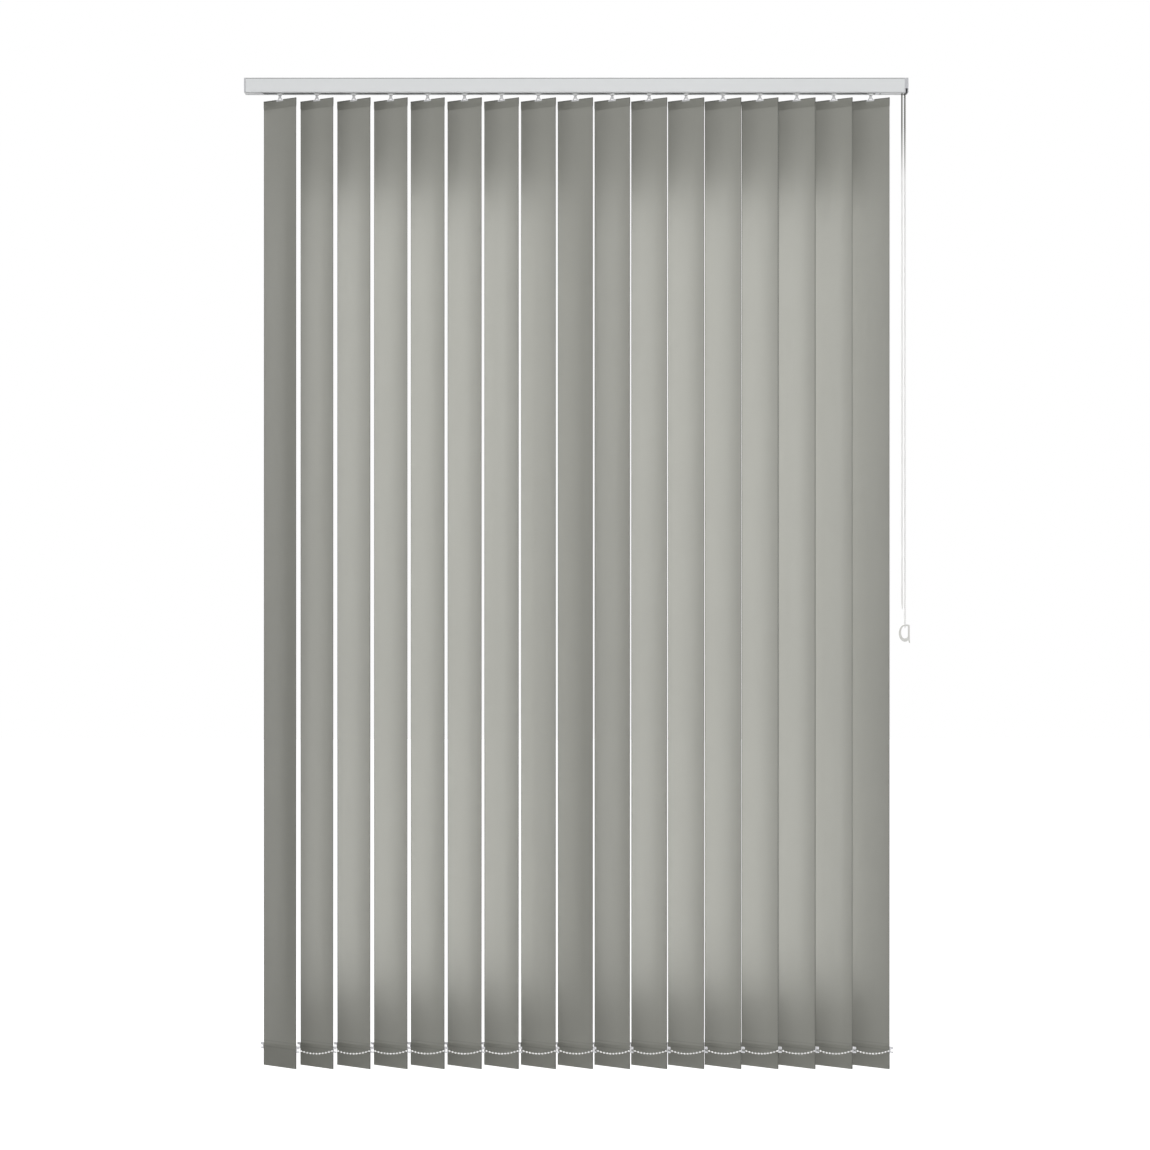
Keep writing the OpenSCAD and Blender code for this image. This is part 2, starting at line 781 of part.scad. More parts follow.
// Fabric with a hem around the hanger and a pocket around the weight
module slat_fabric() {
    hem_floor = slat_top - top_hem;
    pocket_top = slat_bottom + bottom_pocket;
    weld = 1;
    mouth = bail_width / 2 + 1.1;
    difference() {
        union() {
            block([-slat_half, -hem_half, hem_floor], [slat_half, hem_half, slat_top]);
            block([-slat_half, -fabric / 2, pocket_top - cut], [slat_half, fabric / 2, hem_floor + cut]);
            block([-slat_half, -hem_half, slat_bottom], [slat_half, hem_half, pocket_top]);
        }
        block(
            [-slat_half - cut, -pocket_half, hem_floor + weld],
            [slat_half + cut, pocket_half, slat_top - fabric]
        );
        block([-mouth, -pocket_half, slat_top - top_hem / 2], [mouth, pocket_half, slat_top + cut]);
        block(
            [-slat_half - cut, -pocket_half, slat_bottom + fabric],
            [slat_half + cut, pocket_half, pocket_top - weld]
        );
    }
}

// Flat weight with a chain clip at each end
module bottom_weight() {
    floor = slat_bottom + fabric + pocket_slack;
    neck_top = eye_z + clip_height / 2 - 1.5;
    union() {
        block([-weight_half, -strip / 2, floor], [weight_half, strip / 2, floor + weight_height]);
        for (side = [0, 1]) mirror([side, 0, 0]) {
            block(
                [weight_half - 1, -strip / 2, neck_top - clip_height + 3],
                [slat_half + 1, strip / 2, min(neck_top, floor + weight_height)]
            );
            difference() {
                block(
                    [slat_half + 0.5, -clip_thick / 2, eye_z - clip_height / 2],
                    [slat_half + 0.5 + clip_reach, clip_thick / 2, eye_z + clip_height / 2]
                );
                block(
                    [eye_u - 3.2, -clip_thick, eye_z - eye_slot_down],
                    [slat_half + clip_reach + 1, clip_thick, eye_z + eye_slot_up]
                );
            }
        }
    }
}

// Height of the link chain below its eyes, at x from the middle of a span
function sag_at(x) = chain_sag * (1 - pow(2 * x / slat_pitch, 2));

// A thread from one point to another, both as [x, z]
module thread(from, to) {
    step = to - from;
    translate([from[0], 0, from[1]])
        rotate([0, 90 - atan2(step[1], step[0]), 0])
            cylinder(r = thread_radius, h = norm(step), $fn = 16);
}

// The chain between two slats, from the middle of its span
module chain_span() {
    last = span_beads + 1;
    spots = [for (i = [0:last]) let (x = (i - last / 2) * bead_step) [x, -sag_at(x)]];
    start = spots[0] + eye_gap * unit(spots[1] - spots[0]);
    finish = spots[last] + eye_gap * unit(spots[last - 1] - spots[last]);
    union() {
        thread(start, spots[1]);
        for (i = [1:last - 2]) thread(spots[i], spots[i + 1]);
        thread(spots[last - 1], finish);
        // turned, so that the thread doesn't cross a bead's seam
        for (i = [1:last - 1])
            translate([spots[i][0], 0, spots[i][1]]) rotate([0, 0, 90]) sphere(r = bead_radius, $fn = 24);
    }
}

// A chain along the slats' clips, on their front side or their rear side
module link_chain(side) {
    offset_x = side * eye_u * cos(rest_angle) + slat_pitch / 2;
    offset_y = -side * eye_u * sin(rest_angle);
    color(plastic_colour)
        for (k = [1:slat_count - 1])
            translate([stem_x(k) + offset_x, offset_y, eye_z]) chain_span();
}

module front_link_chain() {
    link_chain(1);
}

module rear_link_chain() {
    link_chain(-1);
}

headrail();
idle_end_cap();
control_end_cap();
mounting_clip_left();
mounting_clip_right();
tilt_rod();
chain_wheel();
pulley_axle();
front_cord_pulley();
rear_cord_pulley();
return_pulley();
return_pulley_pin();
traverse_cord_runs();
traverse_cord();
control_chain();
chain_tidy();
front_link_chain();
rear_link_chain();
for (k = STATIONS) {
    carrier(k);
    slat(k);
}
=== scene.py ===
"""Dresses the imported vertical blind: woven slats and their fittings, cord, chains, finishes and studio."""

import logging
import math
from collections.abc import Iterable, Mapping, Sequence
from dataclasses import dataclass
from enum import Enum
from typing import Any, ClassVar

import bmesh
import bpy
from mathutils import Matrix, Vector


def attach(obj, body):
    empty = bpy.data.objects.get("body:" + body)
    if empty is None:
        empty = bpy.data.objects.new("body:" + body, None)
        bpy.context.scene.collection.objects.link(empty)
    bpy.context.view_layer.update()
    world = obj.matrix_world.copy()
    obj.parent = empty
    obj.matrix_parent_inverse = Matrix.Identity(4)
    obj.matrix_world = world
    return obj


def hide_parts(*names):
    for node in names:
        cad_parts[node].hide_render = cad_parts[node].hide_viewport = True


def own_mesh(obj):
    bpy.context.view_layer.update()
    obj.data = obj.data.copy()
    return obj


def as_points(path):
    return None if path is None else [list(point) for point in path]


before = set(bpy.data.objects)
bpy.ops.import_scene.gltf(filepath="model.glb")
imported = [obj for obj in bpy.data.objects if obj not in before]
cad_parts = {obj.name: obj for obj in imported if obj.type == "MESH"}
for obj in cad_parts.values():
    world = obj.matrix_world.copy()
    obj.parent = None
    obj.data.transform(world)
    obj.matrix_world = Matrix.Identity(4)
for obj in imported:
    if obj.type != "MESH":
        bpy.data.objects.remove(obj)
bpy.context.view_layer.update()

LOG = logging.getLogger("vertical_blind")
MM = 0.001
# Edges that turn by less than this stay smooth
SMOOTH_BELOW = math.radians(38)
# Ends of an edge whose depths differ by less than this lie in one plane
LEVEL_WITHIN = 0.1 * MM
# Heights between which the cord and the ball chain go from their own pale colour to painted shade near the
# rail
PAINTED_SHADE_SPAN = (-0.21, -0.1)
# Heights between which a cap's grey gives way to a pale underside, painted light that stands for light from
# below on its tongue
PAINTED_UNDERSIDE_LIGHT = (-0.0302, -0.0306)
Colour = tuple[float, float, float]
Triple = tuple[float, float, float]
Pair = tuple[float, float]


class Slot(Enum):
    """Names of the record's material slots."""

    PLASTIC = "plastic"
    CORD = "cord"
    CHAIN = "chain"
    SLAT = "slat"


class Side(Enum):
    """Which edge of the slats a link chain runs along."""

    FRONT = 1
    REAR = -1


class Value:
    """A shader value, on which Python's operators add Math nodes."""

    def __init__(self, graph: "Graph", output: bpy.types.NodeSocket) -> None:
        """Keeps the node tree and the output socket."""
        self.graph = graph
        self.output = output

    def _math(self, operation: str, first: Any, second: Any = 0.0) -> "Value":
        """Adds one Math node."""
        return self.graph.node("ShaderNodeMath", {"operation": operation}, {0: first, 1: second})

    def __add__(self, other: Any) -> "Value":
        """Sum."""
        return self._math("ADD", self, other)

    __radd__ = __add__

    def __sub__(self, other: Any) -> "Value":
        """Difference."""
        return self._math("SUBTRACT", self, other)

    def __rsub__(self, other: Any) -> "Value":
        """Difference, the other way round."""
        return self._math("SUBTRACT", other, self)

    def __mul__(self, other: Any) -> "Value":
        """Product."""
        return self._math("MULTIPLY", self, other)

    __rmul__ = __mul__

    def __abs__(self) -> "Value":
        """Size without its sign."""
        return self._math("ABSOLUTE", self)

    def sine(self) -> "Value":
        """Sine of the value in radians."""
        return self._math("SINE", self)

    def above(self, other: Any) -> "Value":
        """The larger of two values."""
        return self._math("MAXIMUM", self, other)

    def below(self, other: Any) -> "Value":
        """The smaller of two values."""
        return self._math("MINIMUM", self, other)

    def near(self, centre: float, width: float) -> "Value":
        """A mask that is 1 at the centre and falls to 0 at the width from it."""
        return (1 - abs(self - centre) * (1 / width)).above(0.0)


class Graph:
    """The node tree of a material or a world."""

    def __init__(self, name: str, world: bool = False) -> None:
        """Starts an empty material, or an empty world."""
        self.owner = bpy.data.worlds.new(name) if world else bpy.data.materials.new(name)
        self.owner.use_nodes = True
        self.output_kind = "ShaderNodeOutputWorld" if world else "ShaderNodeOutputMaterial"
        self.tree = self.owner.node_tree
        self.tree.nodes.clear()

    def node(
        self,
        kind: str,
        settings: Mapping[str, Any] | None = None,
        inputs: Mapping[int | str, Any] | None = None,
        output: int | str = 0,
    ) -> Value:
        """Adds a node.

        Args:
            kind: the node's type.
            settings: attributes of the node, set before its sockets.
            inputs: values or links, by the socket's name or number.
            output: the socket that is handed back.

        Returns:
            The chosen output.
        """
        made = self.tree.nodes.new(kind)
        for name, value in (settings or {}).items():
            setattr(made, name, value)
        for name, value in (inputs or {}).items():
            if isinstance(value, Value):
                self.tree.links.new(value.output, made.inputs[name])
            else:
                made.inputs[name].default_value = value
        return Value(self, made.outputs[output] if made.outputs else None)

    def surface(self, shader: Value) -> bpy.types.Material | bpy.types.World:
        """Ends the tree with a shader, and hands over the finished material or world."""
        self.node(self.output_kind, inputs={"Surface": shader})
        return self.owner

    def seen(self) -> Value:
        """1 for what is seen straight, in a gloss or through glass, 0 for light that scatters."""
        straight, gloss, through, scattered = (
            self.node("ShaderNodeLightPath", output=f"Is {ray} Ray")
            for ray in ("Camera", "Glossy", "Transmission", "Diffuse")
        )
        return (straight + gloss + through - scattered).above(0.0).below(1.0)

    def place(self, scale: Sequence[float] = (1, 1, 1), uv: str = "") -> Value:
        """Coordinates in metres, stretched.

        Args:
            scale: factor along each axis.
            uv: name of a UV map, or nothing for Object coordinates.

        Returns:
            The coordinates.
        """
        if uv:
            source = self.node("ShaderNodeUVMap", {"uv_map": uv})
        else:
            source = self.node("ShaderNodeTexCoord", output="Object")
        return self.node("ShaderNodeMapping", inputs={"Vector": source, "Scale": scale})

    def noise(self, where: Value, scale: float = 1.0, detail: float = 2.0) -> Value:
        """Smooth noise around 0.5, with a scale in cells to the metre and a detail in octaves."""
        return self.node("ShaderNodeTexNoise", inputs={"Vector": where, "Scale": scale, "Detail": detail})

    def axes(self, where: Value) -> tuple[Value, Value, Value]:
        """The X, the Y and the Z of coordinates."""
        outputs = self.node("ShaderNodeSeparateXYZ", inputs={"Vector": where}).output.node.outputs
        return Value(self, outputs["X"]), Value(self, outputs["Y"]), Value(self, outputs["Z"])

    def fade(self, colour: Value, other: Colour, start: float, full: float) -> Value:
        """A colour that turns into another one with height.

        Args:
            colour: the colour on one side.
            other: the colour on the other.
            start: height in metres where it begins to turn.
            full: height where it has turned.

        Returns:
            The colour.
        """
        height = self.axes(self.place())[2]
        share = ((height - start) * (1 / (full - start))).above(0.0).below(1.0)
        return self.node("ShaderNodeMix", {"data_type": "RGBA"}, {0: share, 6: colour, 7: (*other, 1.0)}, 2)

    def tint(self, colour: Colour, by: Value, spread: float) -> Value:
        """A colour that drifts with a value from 0 to 1.

        Args:
            colour: the colour where the value is a half.
            by: what it drifts with.
            spread: share of the colour at the value's ends.

        Returns:
            The colour.
        """
        low = (*(part * (1 - spread) for part in colour), 1.0)
        high = (*(part * (1 + spread) for part in colour), 1.0)
        settings = {"data_type": "RGBA", "clamp_factor": False}
        return self.node("ShaderNodeMix", settings, {0: by, 6: low, 7: high}, 2)

    def bump(self, height: Value, distance: float) -> Value:
        """The normal of a relief, from a height and the metres that a height of 1 stands for."""
        inputs = {"Height": height, "Distance": distance, "Strength": 1.0}
        return self.node("ShaderNodeBump", inputs=inputs)


@dataclass(frozen=True)
class Finish:
    """What every finish has."""

    name: str
    colour: Colour
    roughness: float

    def inputs(self, graph: Graph) -> dict[str, Any]:
        """Values and links of the Principled shader."""
        raise NotImplementedError

    def material(self) -> bpy.types.Material:
        """Builds the material."""
        graph = Graph(self.name)
        return graph.surface(graph.node("ShaderNodeBsdfPrincipled", inputs=self.inputs(graph)))


@dataclass(frozen=True)
class PowderCoat(Finish):
    """Satin powder coat on an extrusion, with faint draw lines along it."""

    peel: float = 1.6 * MM
    relief: float = 0.012 * MM
    drift: Triple = (5, 20, 20)
    draw_lines: Triple = (0.6, 900, 900)
    spread: float = 0.07
    lip: float = -2.8 * MM
    lip_blend: float = 0.4 * MM
    lip_painted_shade: float = 3.2

    def inputs(self, graph: Graph) -> dict[str, Any]:
        """Orange peel, slow drift in tone, lines along the rail and painted shade along the lip at its top.
        """
        peel = graph.noise(graph.place(), 1 / self.peel)
        drift = graph.noise(graph.place(self.drift))
        lines = graph.noise(graph.place(self.draw_lines), detail=1.0)
        # Painted shade: the face darkens over its top few millimetres, where the top corner lies in shade
        lip = ((graph.axes(graph.place())[2] - self.lip) * (1 / self.lip_blend)).above(0.0).below(1.0)
        tone = drift * 0.35 + lines * 0.15 + 0.25 - lip * self.lip_painted_shade
        return {
            "Base Color": graph.tint(self.colour, tone, self.spread),
            "Roughness": self.roughness + (peel - 0.5) * 0.16,
            "Coat Weight": 0.12,
            "Coat Roughness": 0.35,
            "Normal": graph.bump(peel + lines * 0.4, self.relief),
        }


@dataclass(frozen=True)
class MouldedPlastic(Finish):
    """Moulded plastic with a fine spark-eroded grain."""

    grain: float = 0.35 * MM
    relief: float = 0.012 * MM
    flow: Triple = (60, 60, 20)
    spread: float = 0.03
    gloss: float = 0.0
    # A colour that the plastic turns to with height: painted shade near the rail on the ball chain, painted
    # light under the caps
    other: Colour | None = None
    turns: Pair = PAINTED_SHADE_SPAN

    def inputs(self, graph: Graph) -> dict[str, Any]:
        """Grain, faint flow marks and a slow drift in tone."""
        grain = graph.noise(graph.place(), 1 / self.grain, detail=3.0)
        flow = graph.noise(graph.place(self.flow))
        colour = graph.tint(self.colour, flow * 0.8 + grain * 0.2, self.spread)
        return {
            "Base Color": graph.fade(colour, self.other, *self.turns) if self.other else colour,
            "Roughness": self.roughness + (grain - 0.5) * 0.14 + (flow - 0.5) * 0.1,
            "Coat Weight": self.gloss,
            "Coat Roughness": 0.2,
            "Normal": graph.bump(grain, self.relief),
        }


@dataclass(frozen=True)
class MilkyPlastic(MouldedPlastic):
    """Moulded plastic that lets some light through."""

    through: float = 0.45

    def material(self) -> bpy.types.Material:
        """Builds the material, with a share of light from behind."""
        graph = Graph(self.name)
        shell = graph.node("ShaderNodeBsdfPrincipled", inputs=self.inputs(graph))
        glow = graph.node("ShaderNodeBsdfTranslucent", inputs={"Color": (*self.colour, 1.0)})
        return graph.surface(graph.node("ShaderNodeMixShader", inputs={0: self.through, 1: shell, 2: glow}))


@dataclass(frozen=True)
class PlatedSteel(Finish):
    """Zinc-plated steel, brushed along the rail."""

    brushing: Triple = (30, 1800, 1800)
    spangle: float = 220.0
    spread: float = 0.08
    relief: float = 0.008 * MM

    def inputs(self, graph: Graph) -> dict[str, Any]:
        """Fine scratches and spangle."""
        scratches = graph.noise(graph.place(self.brushing))
        spangle = graph.noise(graph.place(), self.spangle)
        return {
            "Base Color": graph.tint(self.colour, spangle, self.spread),
            "Metallic": 1.0,
            "Roughness": self.roughness + (scratches - 0.5) * 0.25,
            "Normal": graph.bump(scratches, self.relief),
        }


@dataclass(frozen=True)
class BraidedCord(Finish):
    """Polyester cord, braided, on a tube's own map."""

    painted_shade: Colour
    strands: int = 4
    lay: float = 5 * MM
    fibre: Triple = (40, 900, 1)
    spread: float = 0.1
    relief: float = 0.16 * MM

    def inputs(self, graph: Graph) -> dict[str, Any]:
        """Two crossing sets of strands, their fibres, and painted shade that darkens the cord near the rail.
        """
        around, along, _ = graph.axes(graph.place(uv=Tube.UV))
        turn, run = around * (math.tau * self.strands), along * (math.tau / self.lay)
        braid = (turn + run).sine().above((turn - run).sine()) * 0.5 + 0.5
        fibre = graph.noise(graph.place(self.fibre, uv=Tube.UV))
        unshaded = graph.tint(self.colour, braid * 0.7 + fibre * 0.3, self.spread)
        return {
            "Base Color": graph.fade(unshaded, self.painted_shade, *PAINTED_SHADE_SPAN),
            "Roughness": self.roughness + (fibre - 0.5) * 0.1,
            "Sheen Weight": 0.25,
            "Normal": graph.bump(braid + fibre * 0.2, self.relief),
        }


@dataclass(frozen=True)
class StretchedCord(Finish):
    """The same cord where it runs inside the rail, on a solid without a map."""

    pick: float = 0.8 * MM
    spread: float = 0.14
    relief: float = 0.1 * MM

    def inputs(self, graph: Graph) -> dict[str, Any]:
        """Picks of the braid along the rail."""
        picks = graph.noise(graph.place(), 1 / self.pick)
        return {
            "Base Color": graph.tint(self.colour, picks, self.spread),
            "Roughness": self.roughness + (picks - 0.5) * 0.1,
            "Normal": graph.bump(picks, self.relief),
        }


@dataclass(frozen=True)
class WovenCloth(Finish):
    """Stiffened plain weave that lets some light through."""

    lit: Colour = (0.70, 0.70, 0.68)
    yarn: float = 0.55 * MM
    slubs: Triple = (55, 1500, 1)
    warp: Triple = (1300, 14, 1)
    drift: Triple = (9, 3, 1)
    relief: float = 0.07 * MM
    through: float = 0.5
    least: float = 0.15
    spread: float = 0.11
    welds: tuple[float, ...] = ()
    weld_width: float = 2.2 * MM
    weld_shade: float = 0.9
    hem_share: float = 0.3
    press: float = 0.8
    # The band is painted light: a paler strip under the pocket's weld, where the cloth faces up towards the
    # light
    band: float = 0.0
    band_width: float = 4.5 * MM
    band_painted_light: float = 0.5
    # The fold is painted shade: a dark line along the top edge where the cloth folds over the hanger
    fold: float = 0.0
    fold_width: float = 3 * MM
    fold_painted_shade: float = 4.0
    # A darker strip along each side edge of the cloth
    edge: float = 44.5 * MM
    edge_width: float = 2.0 * MM
    edge_shade: float = 2.6

    def material(self) -> bpy.types.Material:
        """Weave, slubs, drifting tone, the pressed welds, painted light under the pocket's weld, painted
        shade along the top fold and a darker strip along the side edges, on the cloth's own map in metres.
        """
        graph = Graph(self.name)
        across, down, _ = graph.axes(graph.place(uv=SlatCloth.UV))
        from_middle = graph.axes(graph.place(uv=SlatCloth.CUT))[0]
        cell = math.tau / (2 * self.yarn)
        weave = (across * cell).sine() * (down * cell).sine() * 0.5 + 0.5
        slubs = graph.noise(graph.place(self.slubs, uv=SlatCloth.UV))
        warp = graph.noise(graph.place(self.warp, uv=SlatCloth.UV))
        drift = graph.noise(graph.place(self.drift, uv=SlatCloth.UV))
        pressed = down.near(self.welds[0], self.weld_width) * self.hem_share
        for weld in self.welds[1:]:
            pressed = pressed.above(down.near(weld, self.weld_width))
        side_edge_darkening = abs(from_middle).near(self.edge, self.edge_width)
        # The welds' pressed lines, with the band of painted light, the painted shade at the fold and the
        # darker side edges
        marks_and_painted_light = down.near(self.band, self.band_width) * self.band_painted_light - pressed * self.weld_shade
        marks_and_painted_light = marks_and_painted_light - side_edge_darkening * self.edge_shade - down.near(self.fold, self.fold_width) * self.fold_painted_shade
        tone = weave * 0.2 + slubs * 0.3 + warp * 0.2 + drift * 0.3 + marks_and_painted_light
        colour = graph.tint(self.colour, tone, self.spread)
        height = weave * (1 - pressed * self.press) + slubs * 0.5 + warp * 0.3 - pressed * self.press
        cloth = graph.node(
            "ShaderNodeBsdfPrincipled",
            inputs={
                "Base Color": colour,
                "Roughness": self.roughness + (slubs - 0.5) * 0.12,
                "Sheen Weight": 0.1,
                "Sheen Roughness": 0.6,
                "Specular IOR Level": 0.25,
                "Normal": graph.bump(height, self.relief),
            },
        )
        glow = graph.node("ShaderNodeBsdfTranslucent", inputs={"Color": (*self.lit, 1.0)})
        share = (self.through + (tone - 0.5) * self.spread).above(self.least)
        return graph.surface(graph.node("ShaderNodeMixShader", inputs={0: share, 1: cloth, 2: glow}))


class Shape:
    """A mesh in the making, in metres."""

    BALL_RINGS = 6

    def __init__(self) -> None:
        """Starts an empty mesh."""
        self.bm = bmesh.new()

    def round_edges(self, edges: Iterable[bmesh.types.BMEdge], offset: float, segments: int) -> None:
        """Rounds some edges.

        Args:
            edges: the edges.
            offset: radius of the rounding.
            segments: facets in it.
        """
        bmesh.ops.bevel(
            self.bm,
            geom=list(edges),
            offset=offset,
            offset_type="OFFSET",
            segments=segments,
            profile=0.5,
            affect="EDGES",
            material=-1,
            clamp_overlap=True,
        )

    def _round_sharp(self, verts: Iterable[bmesh.types.BMVert], offset: float, segments: int = 2) -> None:
        """Rounds the edges that are sharp among some vertices.

        Args:
            verts: the vertices.
            offset: radius of the rounding.
            segments: facets in it.
        """
        chosen = dict.fromkeys(verts)
        edges = [
            edge
            for vert in chosen
            for edge in vert.link_edges
            if edge.other_vert(vert) in chosen
            and len(edge.link_faces) == 2
            and edge.calc_face_angle() > SMOOTH_BELOW
        ]
        self.round_edges(dict.fromkeys(edges), offset, segments)

    def deepen(self, faces: list[bmesh.types.BMFace], depth: Vector) -> list[bmesh.types.BMVert]:
        """Extrudes flat faces into a solid.

        Args:
            faces: the flat faces.
            depth: from them to the far side.

        Returns:
            The far side's vertices.
        """
        far = bmesh.ops.extrude_face_region(self.bm, geom=faces)["geom"]
        moved = [item for item in far if isinstance(item, bmesh.types.BMVert)]
        bmesh.ops.translate(self.bm, vec=depth, verts=moved)
        return moved

    def widen(self, edges: list[bmesh.types.BMEdge]) -> tuple[list, list, list]:
        """Extrudes a row of edges, and leaves the new row where it was.

        Args:
            edges: the row.

        Returns:
            The new row's vertices, its edges, and the faces between the rows.
        """
        step = bmesh.ops.extrude_edge_only(self.bm, edges=edges)["geom"]
        verts, lines, faces = (
            [item for item in step if isinstance(item, kind)]
            for kind in (bmesh.types.BMVert, bmesh.types.BMEdge, bmesh.types.BMFace)
        )
        return verts, [line for line in lines if all(end in verts for end in line.verts)], faces

    def block(self, low: Sequence[float], high: Sequence[float], edge: float) -> None:
        """Adds a block with rounded edges.

        Args:
            low: lowest corner.
            high: highest corner.
            edge: radius of the edges.
        """
        low, high = Vector(low), Vector(high)
        verts = bmesh.ops.create_cube(self.bm, size=1.0)["verts"]
        bmesh.ops.scale(self.bm, vec=high - low, verts=verts)
        bmesh.ops.translate(self.bm, vec=(low + high) / 2, verts=verts)
        self._round_sharp(verts, edge)

    def prism(self, outline: Sequence[Vector], depth: Vector, edge: float = 0.0, segments: int = 2) -> None:
        """Adds an outline that is run along a straight line.

        Args:
            outline: corners, in order.
            depth: from the outline to its far copy.
            edge: radius of the edges, or nothing for sharp ones.
            segments: facets in each rounding.
        """
        face = self.bm.faces.new([self.bm.verts.new(corner) for corner in outline])
        moved = self.deepen([face], depth)
        verts = dict.fromkeys(end for vert in moved for line in vert.link_edges for end in line.verts)
        faces = dict.fromkeys(side for vert in verts for side in vert.link_faces)
        bmesh.ops.recalc_face_normals(self.bm, faces=list(faces))
        if edge:
            self._round_sharp(verts, edge, segments)

    def rod(self, start: Sequence[float], end: Sequence[float], radius: float, sides: int = 20) -> None:
        """Adds a round rod between two points.

        Args:
            start: middle of one end.
            end: middle of the other.
            radius: of the rod.
            sides: facets round it.
        """
        start, end = Vector(start), Vector(end)
        turn = (end - start).to_track_quat("Z", "Y").to_matrix().to_4x4()
        bmesh.ops.create_cone(
            self.bm,
            cap_ends=True,
            segments=sides,
            radius1=radius,
            radius2=radius,
            depth=(end - start).length,
            matrix=Matrix.Translation((start + end) / 2) @ turn,
        )

    def balls(self, centres: Iterable[Vector], radius: float, around: int) -> None:
        """Adds small balls, all copies of one.

        Args:
            centres: their middles.
            radius: of a ball.
            around: facets round it.
        """
        one = Shape()
        bmesh.ops.create_uvsphere(one.bm, u_segments=around, v_segments=self.BALL_RINGS, radius=radius)
        pattern, at = one.mesh("ball_pattern"), Vector()
        for centre in centres:
            pattern.transform(Matrix.Translation(centre - at))
            self.bm.from_mesh(pattern)
            at = centre
        bpy.data.meshes.remove(pattern)

    def mesh(self, name: str) -> bpy.types.Mesh:
        """Ends the making, with smooth faces that meet in sharp edges.

        Args:
            name: of the mesh.

        Returns:
            The mesh.
        """
        made = bpy.data.meshes.new(name)
        for face in self.bm.faces:
            face.smooth = True
        self.bm.to_mesh(made)
        self.bm.free()
        made.set_sharp_from_angle(angle=SMOOTH_BELOW)
        return made


class Tube:
    """A round tube along a flat path, with a map of turns around it and metres along it."""

    UV = "run"

    def __init__(self, path: Sequence[Vector], across: Vector, radius: float, sides: int) -> None:
        """Keeps the route.

        Args:
            path: ring centres.
            across: the direction that the path's plane faces.
            radius: of the tube.
            sides: facets round it.
        """
        self.path = path
        self.across = across
        self.radius = radius
        self.sides = sides

    def _ring(self, index: int) -> Matrix:
        """Place and turn of one ring."""
        ahead = self.path[min(index + 1, len(self.path) - 1)]
        along = (ahead - self.path[max(index - 1, 0)]).normalized()
        side = along.cross(self.across)
        turn = Matrix((self.across, side, along)).transposed().to_4x4()
        return Matrix.Translation(self.path[index]) @ turn

    def add_to(self, shape: Shape) -> None:
        """Extrudes the ring along the path, closes its ends and maps it.

        Args:
            shape: the mesh in the making.
        """
        bm = shape.bm
        run = bm.verts.layers.float.get("run") or bm.verts.layers.float.new("run")
        turn = bm.verts.layers.float.get("turn") or bm.verts.layers.float.new("turn")
        uv = bm.loops.layers.uv.get(self.UV) or bm.loops.layers.uv.new(self.UV)
        made = bmesh.ops.create_circle(bm, segments=self.sides, radius=self.radius, matrix=self._ring(0))
        ring = made["verts"]
        for number, vert in enumerate(ring):
            vert[turn] = number / self.sides
        edges = list(dict.fromkeys(edge for vert in ring for edge in vert.link_edges))
        walls, ends, length = [], [edges], 0.0
        for index in range(1, len(self.path)):
            length += (self.path[index] - self.path[index - 1]).length
            verts, edges, faces = shape.widen(edges)
            walls += faces
            bmesh.ops.transform(bm, matrix=self._ring(index) @ self._ring(index - 1).inverted(), verts=verts)
            for vert in verts:
                vert[run] = length
        ends.append(edges)
        for end in ends:
            walls += bmesh.ops.edgeloop_fill(bm, edges=end)["faces"]
        bmesh.ops.recalc_face_normals(bm, faces=walls)
        for face in walls:
            turns = [vert[turn] for vert in face.verts]
            wraps = max(turns) - min(turns) > 0.5
            for loop in face.loops:
                around = loop.vert[turn]
                loop[uv].uv = (around + 1 if wraps and around < 0.5 else around, loop.vert[run])


def dress(node: str, finish: bpy.types.Material) -> None:
    """Gives a CAD node its finish.

    Args:
        node: name of the node.
        finish: its material.
    """
    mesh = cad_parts[node].data
    mesh.materials.clear()
    mesh.materials.append(finish)
    LOG.info("CAD node %s wears %s", node, finish.name)


def piece(
    mesh: bpy.types.Mesh, finish: bpy.types.Material, body: str, slot: Slot, node: str
) -> bpy.types.Object:
    """Makes a piece of the blind from a finished mesh.

    Args:
        mesh: its shape, in place, whose name it takes.
        finish: its material.
        body: the CAD body that it rides on.
        slot: not used.
        node: the CAD node that it stands for.

    Returns:
        The piece.
    """
    made = bpy.data.objects.new(mesh.name, mesh)
    mesh.materials.append(finish)
    bpy.context.scene.collection.objects.link(made)
    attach(made, body)
    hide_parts(node)
    LOG.info("piece %s on %s: %d faces", made.name, body, len(mesh.polygons))
    return made


def arc(centre: Pair, half: Pair, start: float, end: float, steps: int) -> list[Pair]:
    """Points on an arc of a circle or an oval.

    Args:
        centre: its middle.
        half: its half axes.
        start: first angle in degrees.
        end: last angle in degrees.
        steps: gaps between the points.

    Returns:
        The points, first and last among them.
    """
    turns = [math.radians(start + (end - start) * step / steps) for step in range(steps + 1)]
    return [(centre[0] + half[0] * math.cos(turn), centre[1] + half[1] * math.sin(turn)) for turn in turns]


def length_of(path: Sequence[Vector]) -> float:
    """Length of a path in metres."""
    return sum((b - a).length for a, b in zip(path, path[1:]))


def spaced(path: Sequence[Vector], step: float) -> list[Vector]:
    """Points at equal distances along a path.

    Args:
        path: the route.
        step: distance between the points.

    Returns:
        The points, half a step in from each end or a little more.
    """
    total = length_of(path)
    count = int(total / step)
    wanted = [(total - (count - 1) * step) / 2 + number * step for number in range(count)]
    found, walked, index = [], 0.0, 0
    for at in wanted:
        while walked + (path[index + 1] - path[index]).length < at:
            walked += (path[index + 1] - path[index]).length
            index += 1
        leg = path[index + 1] - path[index]
        found.append(path[index] + leg * ((at - walked) / leg.length))
    return found


